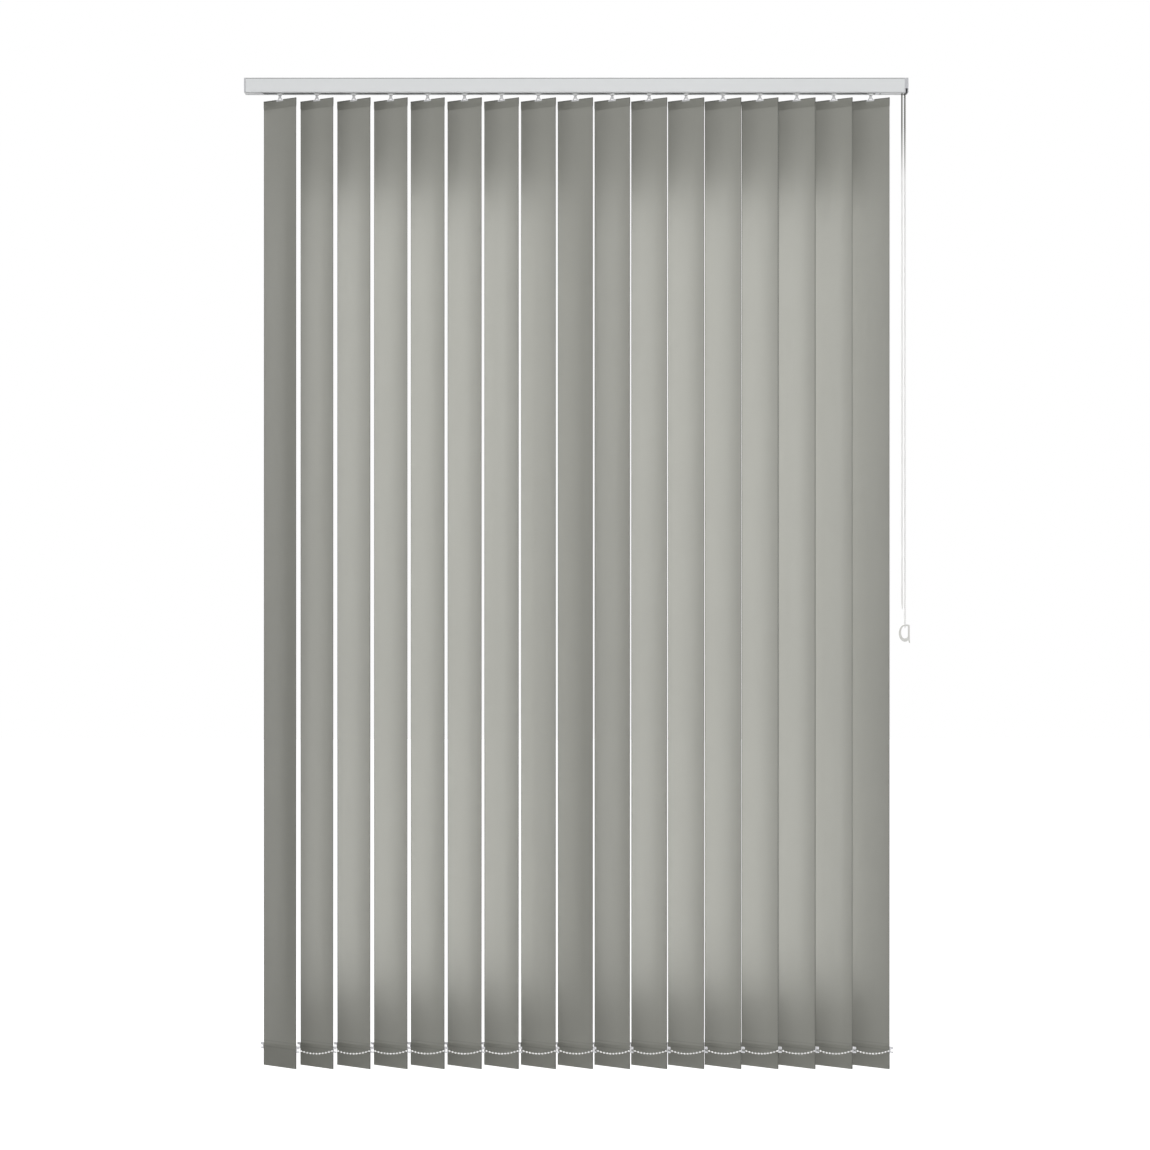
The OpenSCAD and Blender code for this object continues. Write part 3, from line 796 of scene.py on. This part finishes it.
@dataclass
class Finishes:
    """The blind's materials, each made once."""

    CORD: ClassVar[Colour] = (0.87, 0.87, 0.86)
    PAINTED_SHADE_GREY: ClassVar[Colour] = (0.115, 0.115, 0.1)
    GLOSSY: ClassVar[dict[str, float]] = {"grain": 0.5 * MM, "relief": 0.006 * MM}

    rail: bpy.types.Material
    plastic: bpy.types.Material
    fitting: bpy.types.Material
    hook: bpy.types.Material
    clip: bpy.types.Material
    tidy: bpy.types.Material
    steel: bpy.types.Material
    bead: bpy.types.Material
    ball: bpy.types.Material
    cord: bpy.types.Material
    inner_cord: bpy.types.Material
    cloth: bpy.types.Material

    @classmethod
    def make(cls, cloth: "SlatCloth") -> "Finishes":
        """Builds every material.

        Args:
            cloth: what the slats are cut to, for the heights of their welds, of the painted light under the
                pocket's weld and of the painted shade at their top folds.

        Returns:
            The set.
        """
        return cls(
            rail=PowderCoat("rail_powder_coat", (0.63, 0.643, 0.648), 0.42).material(),
            # The caps turn pale towards the rail's bottom: painted light from below
            plastic=MouldedPlastic(
                "cap_plastic", (0.45, 0.455, 0.473), 0.42, other=(0.93, 0.93, 0.95), turns=PAINTED_UNDERSIDE_LIGHT
            ).material(),
            fitting=MouldedPlastic("fitting_plastic", (0.80, 0.80, 0.80), 0.36, gloss=0.15).material(),
            hook=MouldedPlastic("hook_plastic", (0.66, 0.66, 0.67), 0.36, gloss=0.15).material(),
            clip=MilkyPlastic("clip_plastic", (0.93, 0.93, 0.95), 0.36, gloss=0.15).material(),
            tidy=MouldedPlastic("tidy_plastic", (0.72, 0.72, 0.69), 0.4).material(),
            steel=PlatedSteel("clip_steel", (0.62, 0.63, 0.65), 0.38).material(),
            bead=MouldedPlastic("bead_plastic", (0.94, 0.94, 0.93), 0.3, **cls.GLOSSY, gloss=0.3).material(),
            # The ball chain darkens near the rail: painted shade
            ball=MouldedPlastic(
                "ball_plastic", (0.91, 0.91, 0.90), 0.3, **cls.GLOSSY, gloss=0.2, other=cls.PAINTED_SHADE_GREY
            ).material(),
            # The cord darkens near the rail, and inside the rail it wears the painted shade grey all along
            cord=BraidedCord("cord_braid", cls.CORD, 0.72, cls.PAINTED_SHADE_GREY).material(),
            inner_cord=StretchedCord("inner_cord_braid", cls.PAINTED_SHADE_GREY, 0.72).material(),
            cloth=WovenCloth(
                "slat_cloth",
                (0.372, 0.372, 0.337),
                0.82,
                welds=tuple(z * MM for z in cloth.weld_lines),
                band=cloth.painted_light_band * MM,
                fold=cloth.top * MM,
            ).material(),
        )


@dataclass
class Headrail:
    """The rail, its caps, the carriers and the drives inside it, all as the CAD has them."""

    carriers: int = 17
    plastic_nodes: tuple[str, ...] = (
        "idle_end_cap",
        "control_end_cap",
        "chain_wheel",
        "front_cord_pulley",
        "rear_cord_pulley",
        "return_pulley",
    )
    steel_nodes: tuple[str, ...] = (
        "mounting_clip_left",
        "mounting_clip_right",
        "tilt_rod",
        "pulley_axle",
        "return_pulley_pin",
    )

    def build(self, finishes: Finishes) -> None:
        """Dresses the nodes.

        Args:
            finishes: the blind's materials.
        """
        dress("headrail", finishes.rail)
        for node in self.plastic_nodes:
            dress(node, finishes.plastic)
        for node in self.steel_nodes:
            dress(node, finishes.steel)
        for number in range(1, self.carriers + 1):
            dress(f"carrier_{number:02d}", finishes.fitting)
        dress("traverse_cord_runs", finishes.inner_cord)


@dataclass
class TraverseCord:
    """The cord loop that hangs from the control end."""

    x: float = 688 * MM
    diameter: float = 2.2 * MM
    sides: int = 12
    front: tuple[Pair, ...] = (
        (-5, -31),
        (-5, -120),
        (-5, -400),
        (-5, -750),
        (-5.2, -1050),
        (-5.7, -1095),
    )
    turn: Pair = (-1.2, -1114.4)
    turn_half: Pair = (4.6, 4.6)
    turn_steps: int = 14
    rear: tuple[Pair, ...] = (
        (3.3, -1095),
        (2.8, -1050),
        (2.6, -750),
        (2.6, -400),
        (2.6, -120),
        (2.6, -31),
    )

    def build(self, finishes: Finishes) -> None:
        """Makes the cord along the CAD's route.

        Args:
            finishes: the blind's materials.
        """
        flat = [*self.front, *arc(self.turn, self.turn_half, 180, 360, self.turn_steps), *self.rear]
        path = [Vector((self.x, y * MM, z * MM)) for y, z in flat]
        shape = Shape()
        Tube(path, Vector((1, 0, 0)), self.diameter / 2, self.sides).add_to(shape)
        made = piece(shape.mesh("cord_loop"), finishes.cord, "rail", Slot.CORD, "traverse_cord")
        length_of(path)


@dataclass
class ControlChain:
    """The ball chain over the chain wheel, and the tidy that hangs in it."""

    x: float = 695.2 * MM
    ball: float = 3.2 * MM
    ball_sides: int = 8
    pitch: float = 4.5 * MM
    thread: float = 1.1 * MM
    thread_sides: int = 6
    wheel: Pair = (7, -23)
    wheel_balls: int = 8
    wheel_steps: int = 6
    gap: float = 3
    exit_z: float = -31
    front: tuple[Pair, ...] = (
        (1.27, -60),
        (1.27, -400),
        (1.27, -800),
        (1, -1080),
        (0.6, -1130),
    )
    turn: Pair = (7, -1151.6)
    turn_half: Pair = (6.5, 6.5)
    turn_steps: int = 14
    rear: tuple[Pair, ...] = (
        (13.4, -1130),
        (13, -1080),
        (12.73, -800),
        (12.73, -400),
        (12.73, -60),
    )
    tidy_seat: float = -1155.6
    tidy_depth: float = 4 * MM
    tidy_edge: float = 0.8 * MM
    # The tidy's outlines: a first point, an arc over most of an oval, and the stem's points up again
    tidy_arc: tuple[float, float, int] = (90, 264, 18)
    rim: Pair = (8.3, 3)
    rim_oval: tuple[Pair, Pair] = ((0.25, -15.2), (13.1, 18.2))
    rim_stem: tuple[Pair, ...] = ((4.6, -32.6), (7, -29), (8.6, -36), (11.4, -36), (10.2, -29), (10.2, 1))
    hole: Pair = (6.4, 0)
    hole_oval: tuple[Pair, Pair] = ((0.25, -13.4), (8.4, 13.4))
    hole_stem: tuple[Pair, ...] = ((3.8, -25.6), (6.4, -22.4), (6.4, -19), (6.4, -15), (6.4, -11), (6.4, -6))

    def _path(self) -> list[Vector]:
        """The CAD's route, over the wheel and down to the tidy and back.

        Returns:
            The points, with a small gap where the ends meet on the wheel.
        """
        radius = self.wheel_balls * self.pitch / MM / math.tau
        half = radius, radius
        flat = [
            *arc(self.wheel, half, 90 + self.gap, 180, self.wheel_steps),
            *self.front,
            *arc(self.turn, self.turn_half, 180, 360, self.turn_steps),
            *self.rear,
            *arc(self.wheel, half, 0, 90 - self.gap, self.wheel_steps),
        ]
        return [Vector((self.x, y * MM, z * MM)) for y, z in flat]

    def _tidy(self, finishes: Finishes) -> bpy.types.Object:
        """Makes the P-shaped tidy: a ring between two outlines, run to its depth and rounded.

        Args:
            finishes: the blind's materials.

        Returns:
            The piece.
        """
        rim = [self.rim, *arc(*self.rim_oval, *self.tidy_arc), *self.rim_stem]
        hole = [self.hole, *arc(*self.hole_oval, *self.tidy_arc), *self.hole_stem]
        shape, y = Shape(), self.wheel[0] * MM - self.tidy_depth / 2
        loops = []
        for outline in (rim, hole):
            verts = [shape.bm.verts.new((self.x + u * MM, y, (self.tidy_seat + z) * MM)) for u, z in outline]
            loops += [shape.bm.edges.new(pair) for pair in zip(verts, [*verts[1:], verts[0]])]
        bmesh.ops.bridge_loops(shape.bm, edges=loops)
        shape.deepen(list(shape.bm.faces), Vector((0, self.tidy_depth, 0)))
        bmesh.ops.recalc_face_normals(shape.bm, faces=list(shape.bm.faces))
        rims = [
            edge
            for edge in shape.bm.edges
            if edge.calc_face_angle(0) > SMOOTH_BELOW
            and abs(edge.verts[0].co.y - edge.verts[1].co.y) < LEVEL_WITHIN
        ]
        shape.round_edges(rims, self.tidy_edge, segments=3)
        return piece(shape.mesh("tidy_loop"), finishes.tidy, "rail", Slot.PLASTIC, "chain_tidy")

    def build(self, finishes: Finishes) -> None:
        """Makes the balls on their thread, and the tidy.

        Args:
            finishes: the blind's materials.
        """
        path, shape = self._path(), Shape()
        Tube(path, Vector((1, 0, 0)), self.thread / 2, self.thread_sides).add_to(shape)
        shape.balls(spaced(path, self.pitch), self.ball / 2, self.ball_sides)
        chain = piece(shape.mesh("ball_chain"), finishes.ball, "rail", Slot.CHAIN, "control_chain")
        length_of(path)
        self._tidy(finishes)
        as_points(path)


@dataclass
class SlatCloth:
    """The cloth of one slat: a hem over the hanger, the drop, and a pocket round the weight."""

    UV: ClassVar[str] = "cloth"
    CUT: ClassVar[str] = "cut"

    width: float = 89
    top: float = -43
    bottom: float = -2087.5
    hem: float = 18
    pocket: float = 47
    cloth: float = 0.4
    layer: float = 0.95
    mouth: float = 9.5
    mouth_depth: float = 4
    camber: float = 1.3
    camber_ease: float = 0.7
    drop_steps: int = 44
    fold_steps: int = 6
    # Lines down the cloth from its middle to its edge, apart from the mouth's and the edge's own
    middle_line: float = 3
    side_lines: tuple[float, ...] = (14, 19, 26, 33, 39.5)
    # How far the pressed lines lie over and under the pocket's weld, and the band of painted light under it
    press_over: float = 6
    press_under: float = 6.2
    band_under: float = 1.5
    # How the cloth closes to its welds: heights from the weld, or depths and heights
    lap_half: float = 1
    hem_open: float = 4
    hem_dent: tuple[Pair, ...] = ((-0.1, 0.6), (0.02, -1.5))
    hem_end: float = -5
    pocket_end: float = 4
    pocket_dent: tuple[Pair, ...] = ((0.06, 1.4), (-0.06, -0.4))
    pocket_ease: Pair = (0.8, -2.6)
    pocket_open: float = -5

    @property
    def hem_weld(self) -> float:
        """Height of the weld under the hem."""
        return self.top - self.hem

    @property
    def pocket_weld(self) -> float:
        """Height of the weld over the pocket."""
        return self.bottom + self.pocket

    @property
    def weld_lines(self) -> tuple[float, ...]:
        """Heights of the pressed lines: one under the hem, two over and under the pocket's weld."""
        return self.hem_weld, self.pocket_weld + self.press_over, self.pocket_weld - self.press_under

    @property
    def painted_light_band(self) -> float:
        """Height of the band of painted light between the pocket's two lines."""
        return self.pocket_weld - self.band_under

    @property
    def flat(self) -> Pair:
        """Width and length of the cut cloth in metres."""
        return self.width * MM, (self.top - self.bottom + self.hem + self.pocket) * MM

    def _profile(self) -> list[Pair]:
        """The cloth's outer face, from the hem's cut edge over the top and down to the pocket's cut edge.

        Returns:
            Points as depth and height, in millimetres.
        """
        reach, face = self.layer, -self.cloth / 2
        lap = self.cloth - face
        hem, pocket = self.hem_weld, self.pocket_weld
        over = arc((0, self.top - reach), (reach, reach), 0, 180, self.fold_steps)
        under = arc((0, self.bottom + reach), (reach, reach), 180, 360, self.fold_steps)
        first, last = hem + self.hem_end, pocket + self.pocket_end
        steps = self.drop_steps
        drop = [(face, first + (last - first) * step / steps) for step in range(steps + 1)]
        return [
            (lap, hem - self.lap_half),
            (lap, hem + self.lap_half),
            (reach, hem + self.hem_open),
            (reach, self.top - self.mouth_depth),
            *over,
            (-reach, self.top - self.mouth_depth),
            (-reach, hem + self.hem_open),
            *((face + w, hem + z) for w, z in self.hem_dent),
            *drop,
            *((face + w, pocket + z) for w, z in self.pocket_dent),
            (-reach * self.pocket_ease[0], pocket + self.pocket_ease[1]),
            (-reach, pocket + self.pocket_open),
            *under,
            (reach, pocket + self.pocket_open),
            (lap, pocket - self.lap_half),
            (lap, pocket + self.lap_half),
        ]

    def _bow(self, u: float, z: float) -> float:
        """How far the cloth bows towards the viewer, between its stiff hem and its stiff pocket.

        Args:
            u: place across the slat, from its middle.
            z: height.

        Returns:
            The distance, in millimetres.
        """
        along = min(max((self.top - z) / (self.top - self.bottom), 0), 1)
        across = 2 * u / self.width
        return self.camber * math.sin(math.pi * along) ** self.camber_ease * (1 - across**2)

    def mesh(self) -> bpy.types.Mesh:
        """Makes the cloth at the origin, unturned.

        Returns:
            The mesh, with its map in metres.
        """
        right_lines = [self.middle_line, self.mouth, *self.side_lines, self.width / 2]
        columns = [-u for u in reversed(right_lines)] + right_lines
        shape = Shape()
        bm = shape.bm
        chain = [bm.verts.new((columns[0] * MM, w * MM, z * MM)) for w, z in self._profile()]
        edges = [bm.edges.new(pair) for pair in zip(chain, chain[1:])]
        for left, right in zip(columns, columns[1:]):
            verts, edges, _ = shape.widen(edges)
            bmesh.ops.translate(bm, vec=((right - left) * MM, 0, 0), verts=verts)
        slit = [
            face
            for face in bm.faces
            if abs(face.calc_center_median().x) < self.mouth * MM
            and face.calc_center_median().z > (self.top - self.mouth_depth) * MM
        ]
        bmesh.ops.delete(bm, geom=slit, context="FACES")
        for vert in bm.verts:
            vert.co.y -= self._bow(vert.co.x / MM, vert.co.z / MM) * MM
        bmesh.ops.recalc_face_normals(bm, faces=list(bm.faces))
        maps = [bm.loops.layers.uv.new(name) for name in (self.UV, self.CUT)]
        for face in bm.faces:
            for loop in face.loops:
                for uv in maps:
                    loop[uv].uv = (loop.vert.co.x, loop.vert.co.z)
        bmesh.ops.solidify(bm, geom=list(bm.faces), thickness=self.cloth * MM)
        return shape.mesh("slat_cloth_pattern")


@dataclass
class SlatFittings:
    """The plastic of one slat: stem, fork, hanger, weight and chain clips."""

    # One tooth of the gear: places round it, in teeth from the tooth's middle, and radii there
    gear: tuple[Pair, ...] = ((-0.3, 2.8), (-0.14, 3.4), (0.14, 3.4), (0.3, 2.8))
    gear_span: Pair = (-25.1, -20.8)
    teeth: int = 12
    stem: float = 2.0
    stem_overlap: float = 0.5
    # Half width, half depth and half slot of the fork
    fork: Triple = (2.1, 1.85, 0.55)
    fork_span: Pair = (-41.3, -34.5)
    fork_slot: float = -36.7
    # Height, half length and radius of the pin across the fork
    pin: Triple = (-39.7, 1.8, 0.7)
    pin_sides: int = 14
    edge: float = 0.3 * MM
    # Half thickness of the hanger and the weight, and half width, foot and top of each
    strip: float = 0.5
    hanger: Triple = (41, -57.45, -43.45)
    weight: Triple = (43.5, -2087.05, -2044.05)
    # The bail's top, how far it laps the strip, the height of its bridge, and half widths above and below
    bail_top: float = -36.9
    bail_root: float = 1.5
    bail_bridge: float = 1.9
    bail_outer: Pair = (2.4, 6.5)
    bail_inner: Pair = (1.1, 3.7)
    # Near end, far end and half depth of a clip, its half height, and the slot that the chain's eye enters
    clip: Triple = (45, 53, 1.1)
    clip_half: float = 6.5
    clip_edge: float = 0.5 * MM
    slot_inset: float = 1.3
    slot_over: float = 1.2
    slot_under: float = 3.2
    eye: float = -2046
    # The lug between weight and clip: how far it laps each, how far it stays off the foot and the top
    lug_lap: Pair = (1, 0.5)
    lug_inset: Pair = (1.5, 0.05)
    lug_edge: float = 0.2 * MM

    def _gear(self) -> list[Vector]:
        """Outline of the gear at the stem's top.

        Returns:
            The corners, in order.
        """
        corners = []
        for tooth in range(self.teeth):
            for place, radius in self.gear:
                turn = math.tau * (tooth + place) / self.teeth
                corner = Vector((radius * math.cos(turn), radius * math.sin(turn), self.gear_span[0]))
                corners.append(corner * MM)
        return corners

    def _add_hook(self, shape: Shape) -> None:
        """Adds the gear, the stem and the pinned fork.

        Args:
            shape: the mesh in the making.
        """
        low, high = self.fork_span
        wide, deep, slot = self.fork
        pin_z, reach, radius = (length * MM for length in self.pin)
        shape.prism(self._gear(), Vector((0, 0, self.gear_span[1] - self.gear_span[0])) * MM)
        shape.rod((0, 0, (high - self.stem_overlap) * MM), (0, 0, self.gear_span[0] * MM), self.stem * MM)
        outline = [(-deep, high), (deep, high), (deep, low), (slot, low), (slot, self.fork_slot)]
        outline += [(-slot, self.fork_slot), (-slot, low), (-deep, low)]
        corners = [Vector((-wide, y, z)) * MM for y, z in outline]
        shape.prism(corners, Vector((2 * wide, 0, 0)) * MM, self.edge)
        shape.rod((0, -reach, pin_z), (0, reach, pin_z), radius, self.pin_sides)

    def _add_hanger(self, shape: Shape) -> None:
        """Adds the strip in the hem and its bail.

        Args:
            shape: the mesh in the making.
        """
        half, low, high = self.hanger
        deep, top, root = self.strip, self.bail_top, high - self.bail_root
        (crown, foot), (inner_crown, inner_foot) = self.bail_outer, self.bail_inner
        shape.block(Vector((-half, -deep, low)) * MM, Vector((half, deep, high)) * MM, self.edge)
        outline = [(crown, top), (foot, high), (foot, root), (inner_foot, root), (inner_foot, high)]
        outline.append((inner_crown, top - self.bail_bridge))
        outline += [(-x, z) for x, z in reversed(outline)]
        corners = [Vector((x, -deep, z)) * MM for x, z in outline]
        shape.prism(corners, Vector((0, 2 * deep, 0)) * MM, self.edge)

    def lower(self) -> bpy.types.Mesh:
        """Makes the weight and the open clips at its ends, at the origin, unturned.

        Returns:
            The mesh.
        """
        half, low, high = self.weight
        near, far, deep = self.clip
        shape, strip = Shape(), self.strip
        shape.block(Vector((-half, -strip, low)) * MM, Vector((half, strip, high)) * MM, self.edge)
        slot, upper, lower = near + self.slot_inset, self.eye + self.slot_over, self.eye - self.slot_under
        top, foot = self.eye + self.clip_half, self.eye - self.clip_half
        outline = [(near, top), (far, top), (far, upper), (slot, upper)]
        outline += [(slot, lower), (far, lower), (far, foot), (near, foot)]
        lug_foot, lug_top = foot + self.lug_inset[0], high - self.lug_inset[1]
        for sign in (1, -1):
            corners = [Vector((sign * u, -deep, z)) * MM for u, z in outline]
            shape.prism(corners, Vector((0, 2 * deep, 0)) * MM, self.clip_edge, segments=3)
            start, end = sorted((sign * (half - self.lug_lap[0]), sign * (near + self.lug_lap[1])))
            corner, far_corner = Vector((start, -strip, lug_foot)) * MM, Vector((end, strip, lug_top)) * MM
            shape.block(corner, far_corner, self.lug_edge)
        return shape.mesh("slat_weight_pattern")

    def upper(self) -> bpy.types.Mesh:
        """Makes the hook and the hanger at the origin, unturned.

        Returns:
            The mesh.
        """
        shape = Shape()
        self._add_hook(shape)
        self._add_hanger(shape)
        return shape.mesh("slat_hanger_pattern")


@dataclass
class Slats:
    """The row of slats, each with its cloth and its fittings."""

    count: int = 17
    first_x: float = -626 * MM
    pitch: float = 78 * MM
    rest_angle: float = 34
    map_shift: float = 0.137

    def build(self, finishes: Finishes, cloth: SlatCloth, fittings: SlatFittings) -> None:
        """Sets a copy of each pattern at each stem.

        Args:
            finishes: the blind's materials.
            cloth: what the cloth is cut to.
            fittings: the plastic that goes with it.
        """
        patterns = cloth.mesh(), fittings.upper(), fittings.lower()
        turn = Matrix.Rotation(math.radians(-self.rest_angle), 4, "Z")
        for number in range(1, self.count + 1):
            node = f"slat_{number:02d}"
            place = Matrix.Translation((self.first_x + (number - 1) * self.pitch, 0, 0)) @ turn
            sheet, upper, lower = (
                self._copy(pattern, f"{node}_{name}", place)
                for pattern, name in zip(patterns, ("cloth", "hanger", "weight"))
            )
            for corner in sheet.uv_layers[SlatCloth.UV].uv:
                corner.vector.x += number * self.map_shift
            hanger = piece(upper, finishes.hook, node, Slot.PLASTIC, node)
            weight = piece(lower, finishes.clip, node, Slot.PLASTIC, node)
            made = piece(sheet, finishes.cloth, node, Slot.SLAT, node)
            cloth.flat
        for pattern in patterns:
            bpy.data.meshes.remove(pattern)

    @staticmethod
    def _copy(pattern: bpy.types.Mesh, name: str, place: Matrix) -> bpy.types.Mesh:
        """Copies a pattern to its place.

        Args:
            pattern: the mesh at the origin.
            name: of the copy.
            place: where it goes.

        Returns:
            The copy.
        """
        made = pattern.copy()
        made.name = name
        made.transform(place)
        return made


@dataclass
class LinkChain:
    """A beaded chain from clip to clip along one edge of the slats."""

    side: Side
    slats: Slats
    eye_z: float
    eye_u: float = 49.5
    bead: float = 4.0 * MM
    bead_sides: int = 10
    beads: int = 11
    thread: float = 0.6 * MM
    thread_sides: int = 6
    sag: float = 8.2
    stacked_pitch: float = 16 * MM

    def _spots(self) -> list[tuple[Vector, bool]]:
        """Points along the chain, and whether a bead sits at each.

        Returns:
            The points from the first slat's clip to the last's.
        """
        angle = math.radians(self.slats.rest_angle)
        sign = self.side.value
        start = self.slats.first_x + sign * self.eye_u * math.cos(angle) * MM
        y = -sign * self.eye_u * math.sin(angle) * MM
        gaps = self.beads + 1
        spots = []
        for step in range((self.slats.count - 1) * gaps + 1):
            across = (step % gaps) / gaps
            drop = self.sag * (1 - (2 * across - 1) ** 2)
            at = Vector((start + step / gaps * self.slats.pitch, y, (self.eye_z - drop) * MM))
            spots.append((at, step % gaps != 0))
        return spots

    def build(self, finishes: Finishes) -> None:
        """Makes the beads and the thread.

        Args:
            finishes: the blind's materials.
        """
        spots, shape = self._spots(), Shape()
        Tube([at for at, _ in spots], Vector((0, -1, 0)), self.thread / 2, self.thread_sides).add_to(shape)
        shape.balls([at for at, beaded in spots if beaded], self.bead / 2, self.bead_sides)
        name = f"{self.side.name.lower()}_link_chain"
        made = piece(shape.mesh(f"{name}_beads"), finishes.bead, name, Slot.CHAIN, name)
        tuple(spots[-1][0])
        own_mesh(made)


@dataclass(frozen=True)
class Lamp:
    """A soft lamp that the camera doesn't see: place, point that it faces, width and height, watts."""

    name: str
    at: Triple
    aim: Triple
    size: Pair
    power: float

    def build(self) -> None:
        """Adds the lamp to the scene."""
        data = bpy.data.lights.new(self.name, "AREA")
        data.shape = "RECTANGLE"
        data.size, data.size_y = self.size
        data.energy = self.power
        made = bpy.data.objects.new(self.name, data)
        made.location = self.at
        made.rotation_euler = (Vector(self.aim) - Vector(self.at)).to_track_quat("-Z", "Y").to_euler()
        made.visible_camera = False
        bpy.context.scene.collection.objects.link(made)


@dataclass
class Studio:
    """Camera, floor, background and lamps."""

    # The panes stand close behind the slats, and light the cloth from the window's side
    LAMPS: ClassVar[tuple[Lamp, ...]] = (
        Lamp("room_lamp", (-0.8, -2.8, 1.3), (0, 0, -0.2), (9, 3.6), 134),
        Lamp("front_lamp", (0.9, -3.5, 0.3), (0, 0, -0.6), (3.6, 2.8), 36),
        Lamp("left_pane_lamp", (-0.285, 0.09, -1.08), (-0.285, 0, -1.08), (0.53, 1.7), 6.519),
        Lamp("right_pane_lamp", (0.365, 0.09, -1.08), (0.365, 0, -1.08), (0.55, 1.7), 6.765),
        Lamp("floor_lamp", (0, 0, -2.34), (0, 0, 0), (1.7, 0.6), 2),
        Lamp("back_lamp", (0, 1.6, 0.5), (0, 0, 0.2), (3.2, 0.8), 15),
        Lamp("top_lamp", (0, 0, 1.4), (0, 0, 0), (2.2, 0.2), 8),
    )

    camera_at: Triple = (-2.6 * MM, -5.4, -1.0478)
    lens: float = 80.0
    sensor: float = 36.0
    floor_z: float = -2.36
    floor_size: float = 30.0
    floor_tone: float = 0.8
    ambient: float = 0.16
    floor_lift: float = 0.96

    def _background(self) -> None:
        """A world that is seen as white, and that lights at a plain level."""
        graph = Graph("studio_world", world=True)
        level = graph.seen() * (1 - self.ambient) + self.ambient
        white = graph.node("ShaderNodeBackground", inputs={"Color": (1, 1, 1, 1), "Strength": level})
        bpy.context.scene.world = graph.surface(white)

    def _floor(self) -> None:
        """A pale floor under the blind, lifted to white where it is seen and no shadow falls."""
        graph = Graph("floor_white")
        tone = self.floor_tone
        paint = graph.node("ShaderNodeBsdfDiffuse", inputs={"Color": (tone, tone, tone, 1)})
        strength = graph.seen() * self.floor_lift
        lift = graph.node("ShaderNodeEmission", inputs={"Color": (1, 1, 1, 1), "Strength": strength})
        finish = graph.surface(graph.node("ShaderNodeAddShader", inputs={0: paint, 1: lift}))
        shape = Shape()
        bmesh.ops.create_grid(shape.bm, x_segments=1, y_segments=1, size=self.floor_size / 2)
        bmesh.ops.translate(shape.bm, vec=(0, 0, self.floor_z), verts=list(shape.bm.verts))
        mesh = shape.mesh("studio_floor")
        mesh.materials.append(finish)
        floor = bpy.data.objects.new("studio_floor", mesh)
        bpy.context.scene.collection.objects.link(floor)

    def build(self) -> None:
        """Sets up the whole studio."""
        scene = bpy.context.scene
        scene.view_settings.view_transform = "Standard"
        data = bpy.data.cameras.new("photo_camera")
        data.lens, data.sensor_width = self.lens, self.sensor
        camera = bpy.data.objects.new("photo_camera", data)
        camera.location = self.camera_at
        camera.rotation_euler = (math.pi / 2, 0, 0)
        scene.collection.objects.link(camera)
        scene.camera = camera
        self._background()
        self._floor()
        for lamp in self.LAMPS:
            lamp.build()


def main() -> None:
    """Builds the studio and the blind, piece by piece."""
    logging.basicConfig(level=logging.INFO, format="%(message)s")
    Studio().build()
    cloth, fittings, slats = SlatCloth(), SlatFittings(), Slats()
    finishes = Finishes.make(cloth)
    TraverseCord().build(finishes)
    ControlChain().build(finishes)
    Headrail(slats.count).build(finishes)
    slats.build(finishes, cloth, fittings)
    for side in Side:
        LinkChain(side, slats, fittings.eye).build(finishes)


if __name__ == "__main__":
    main()
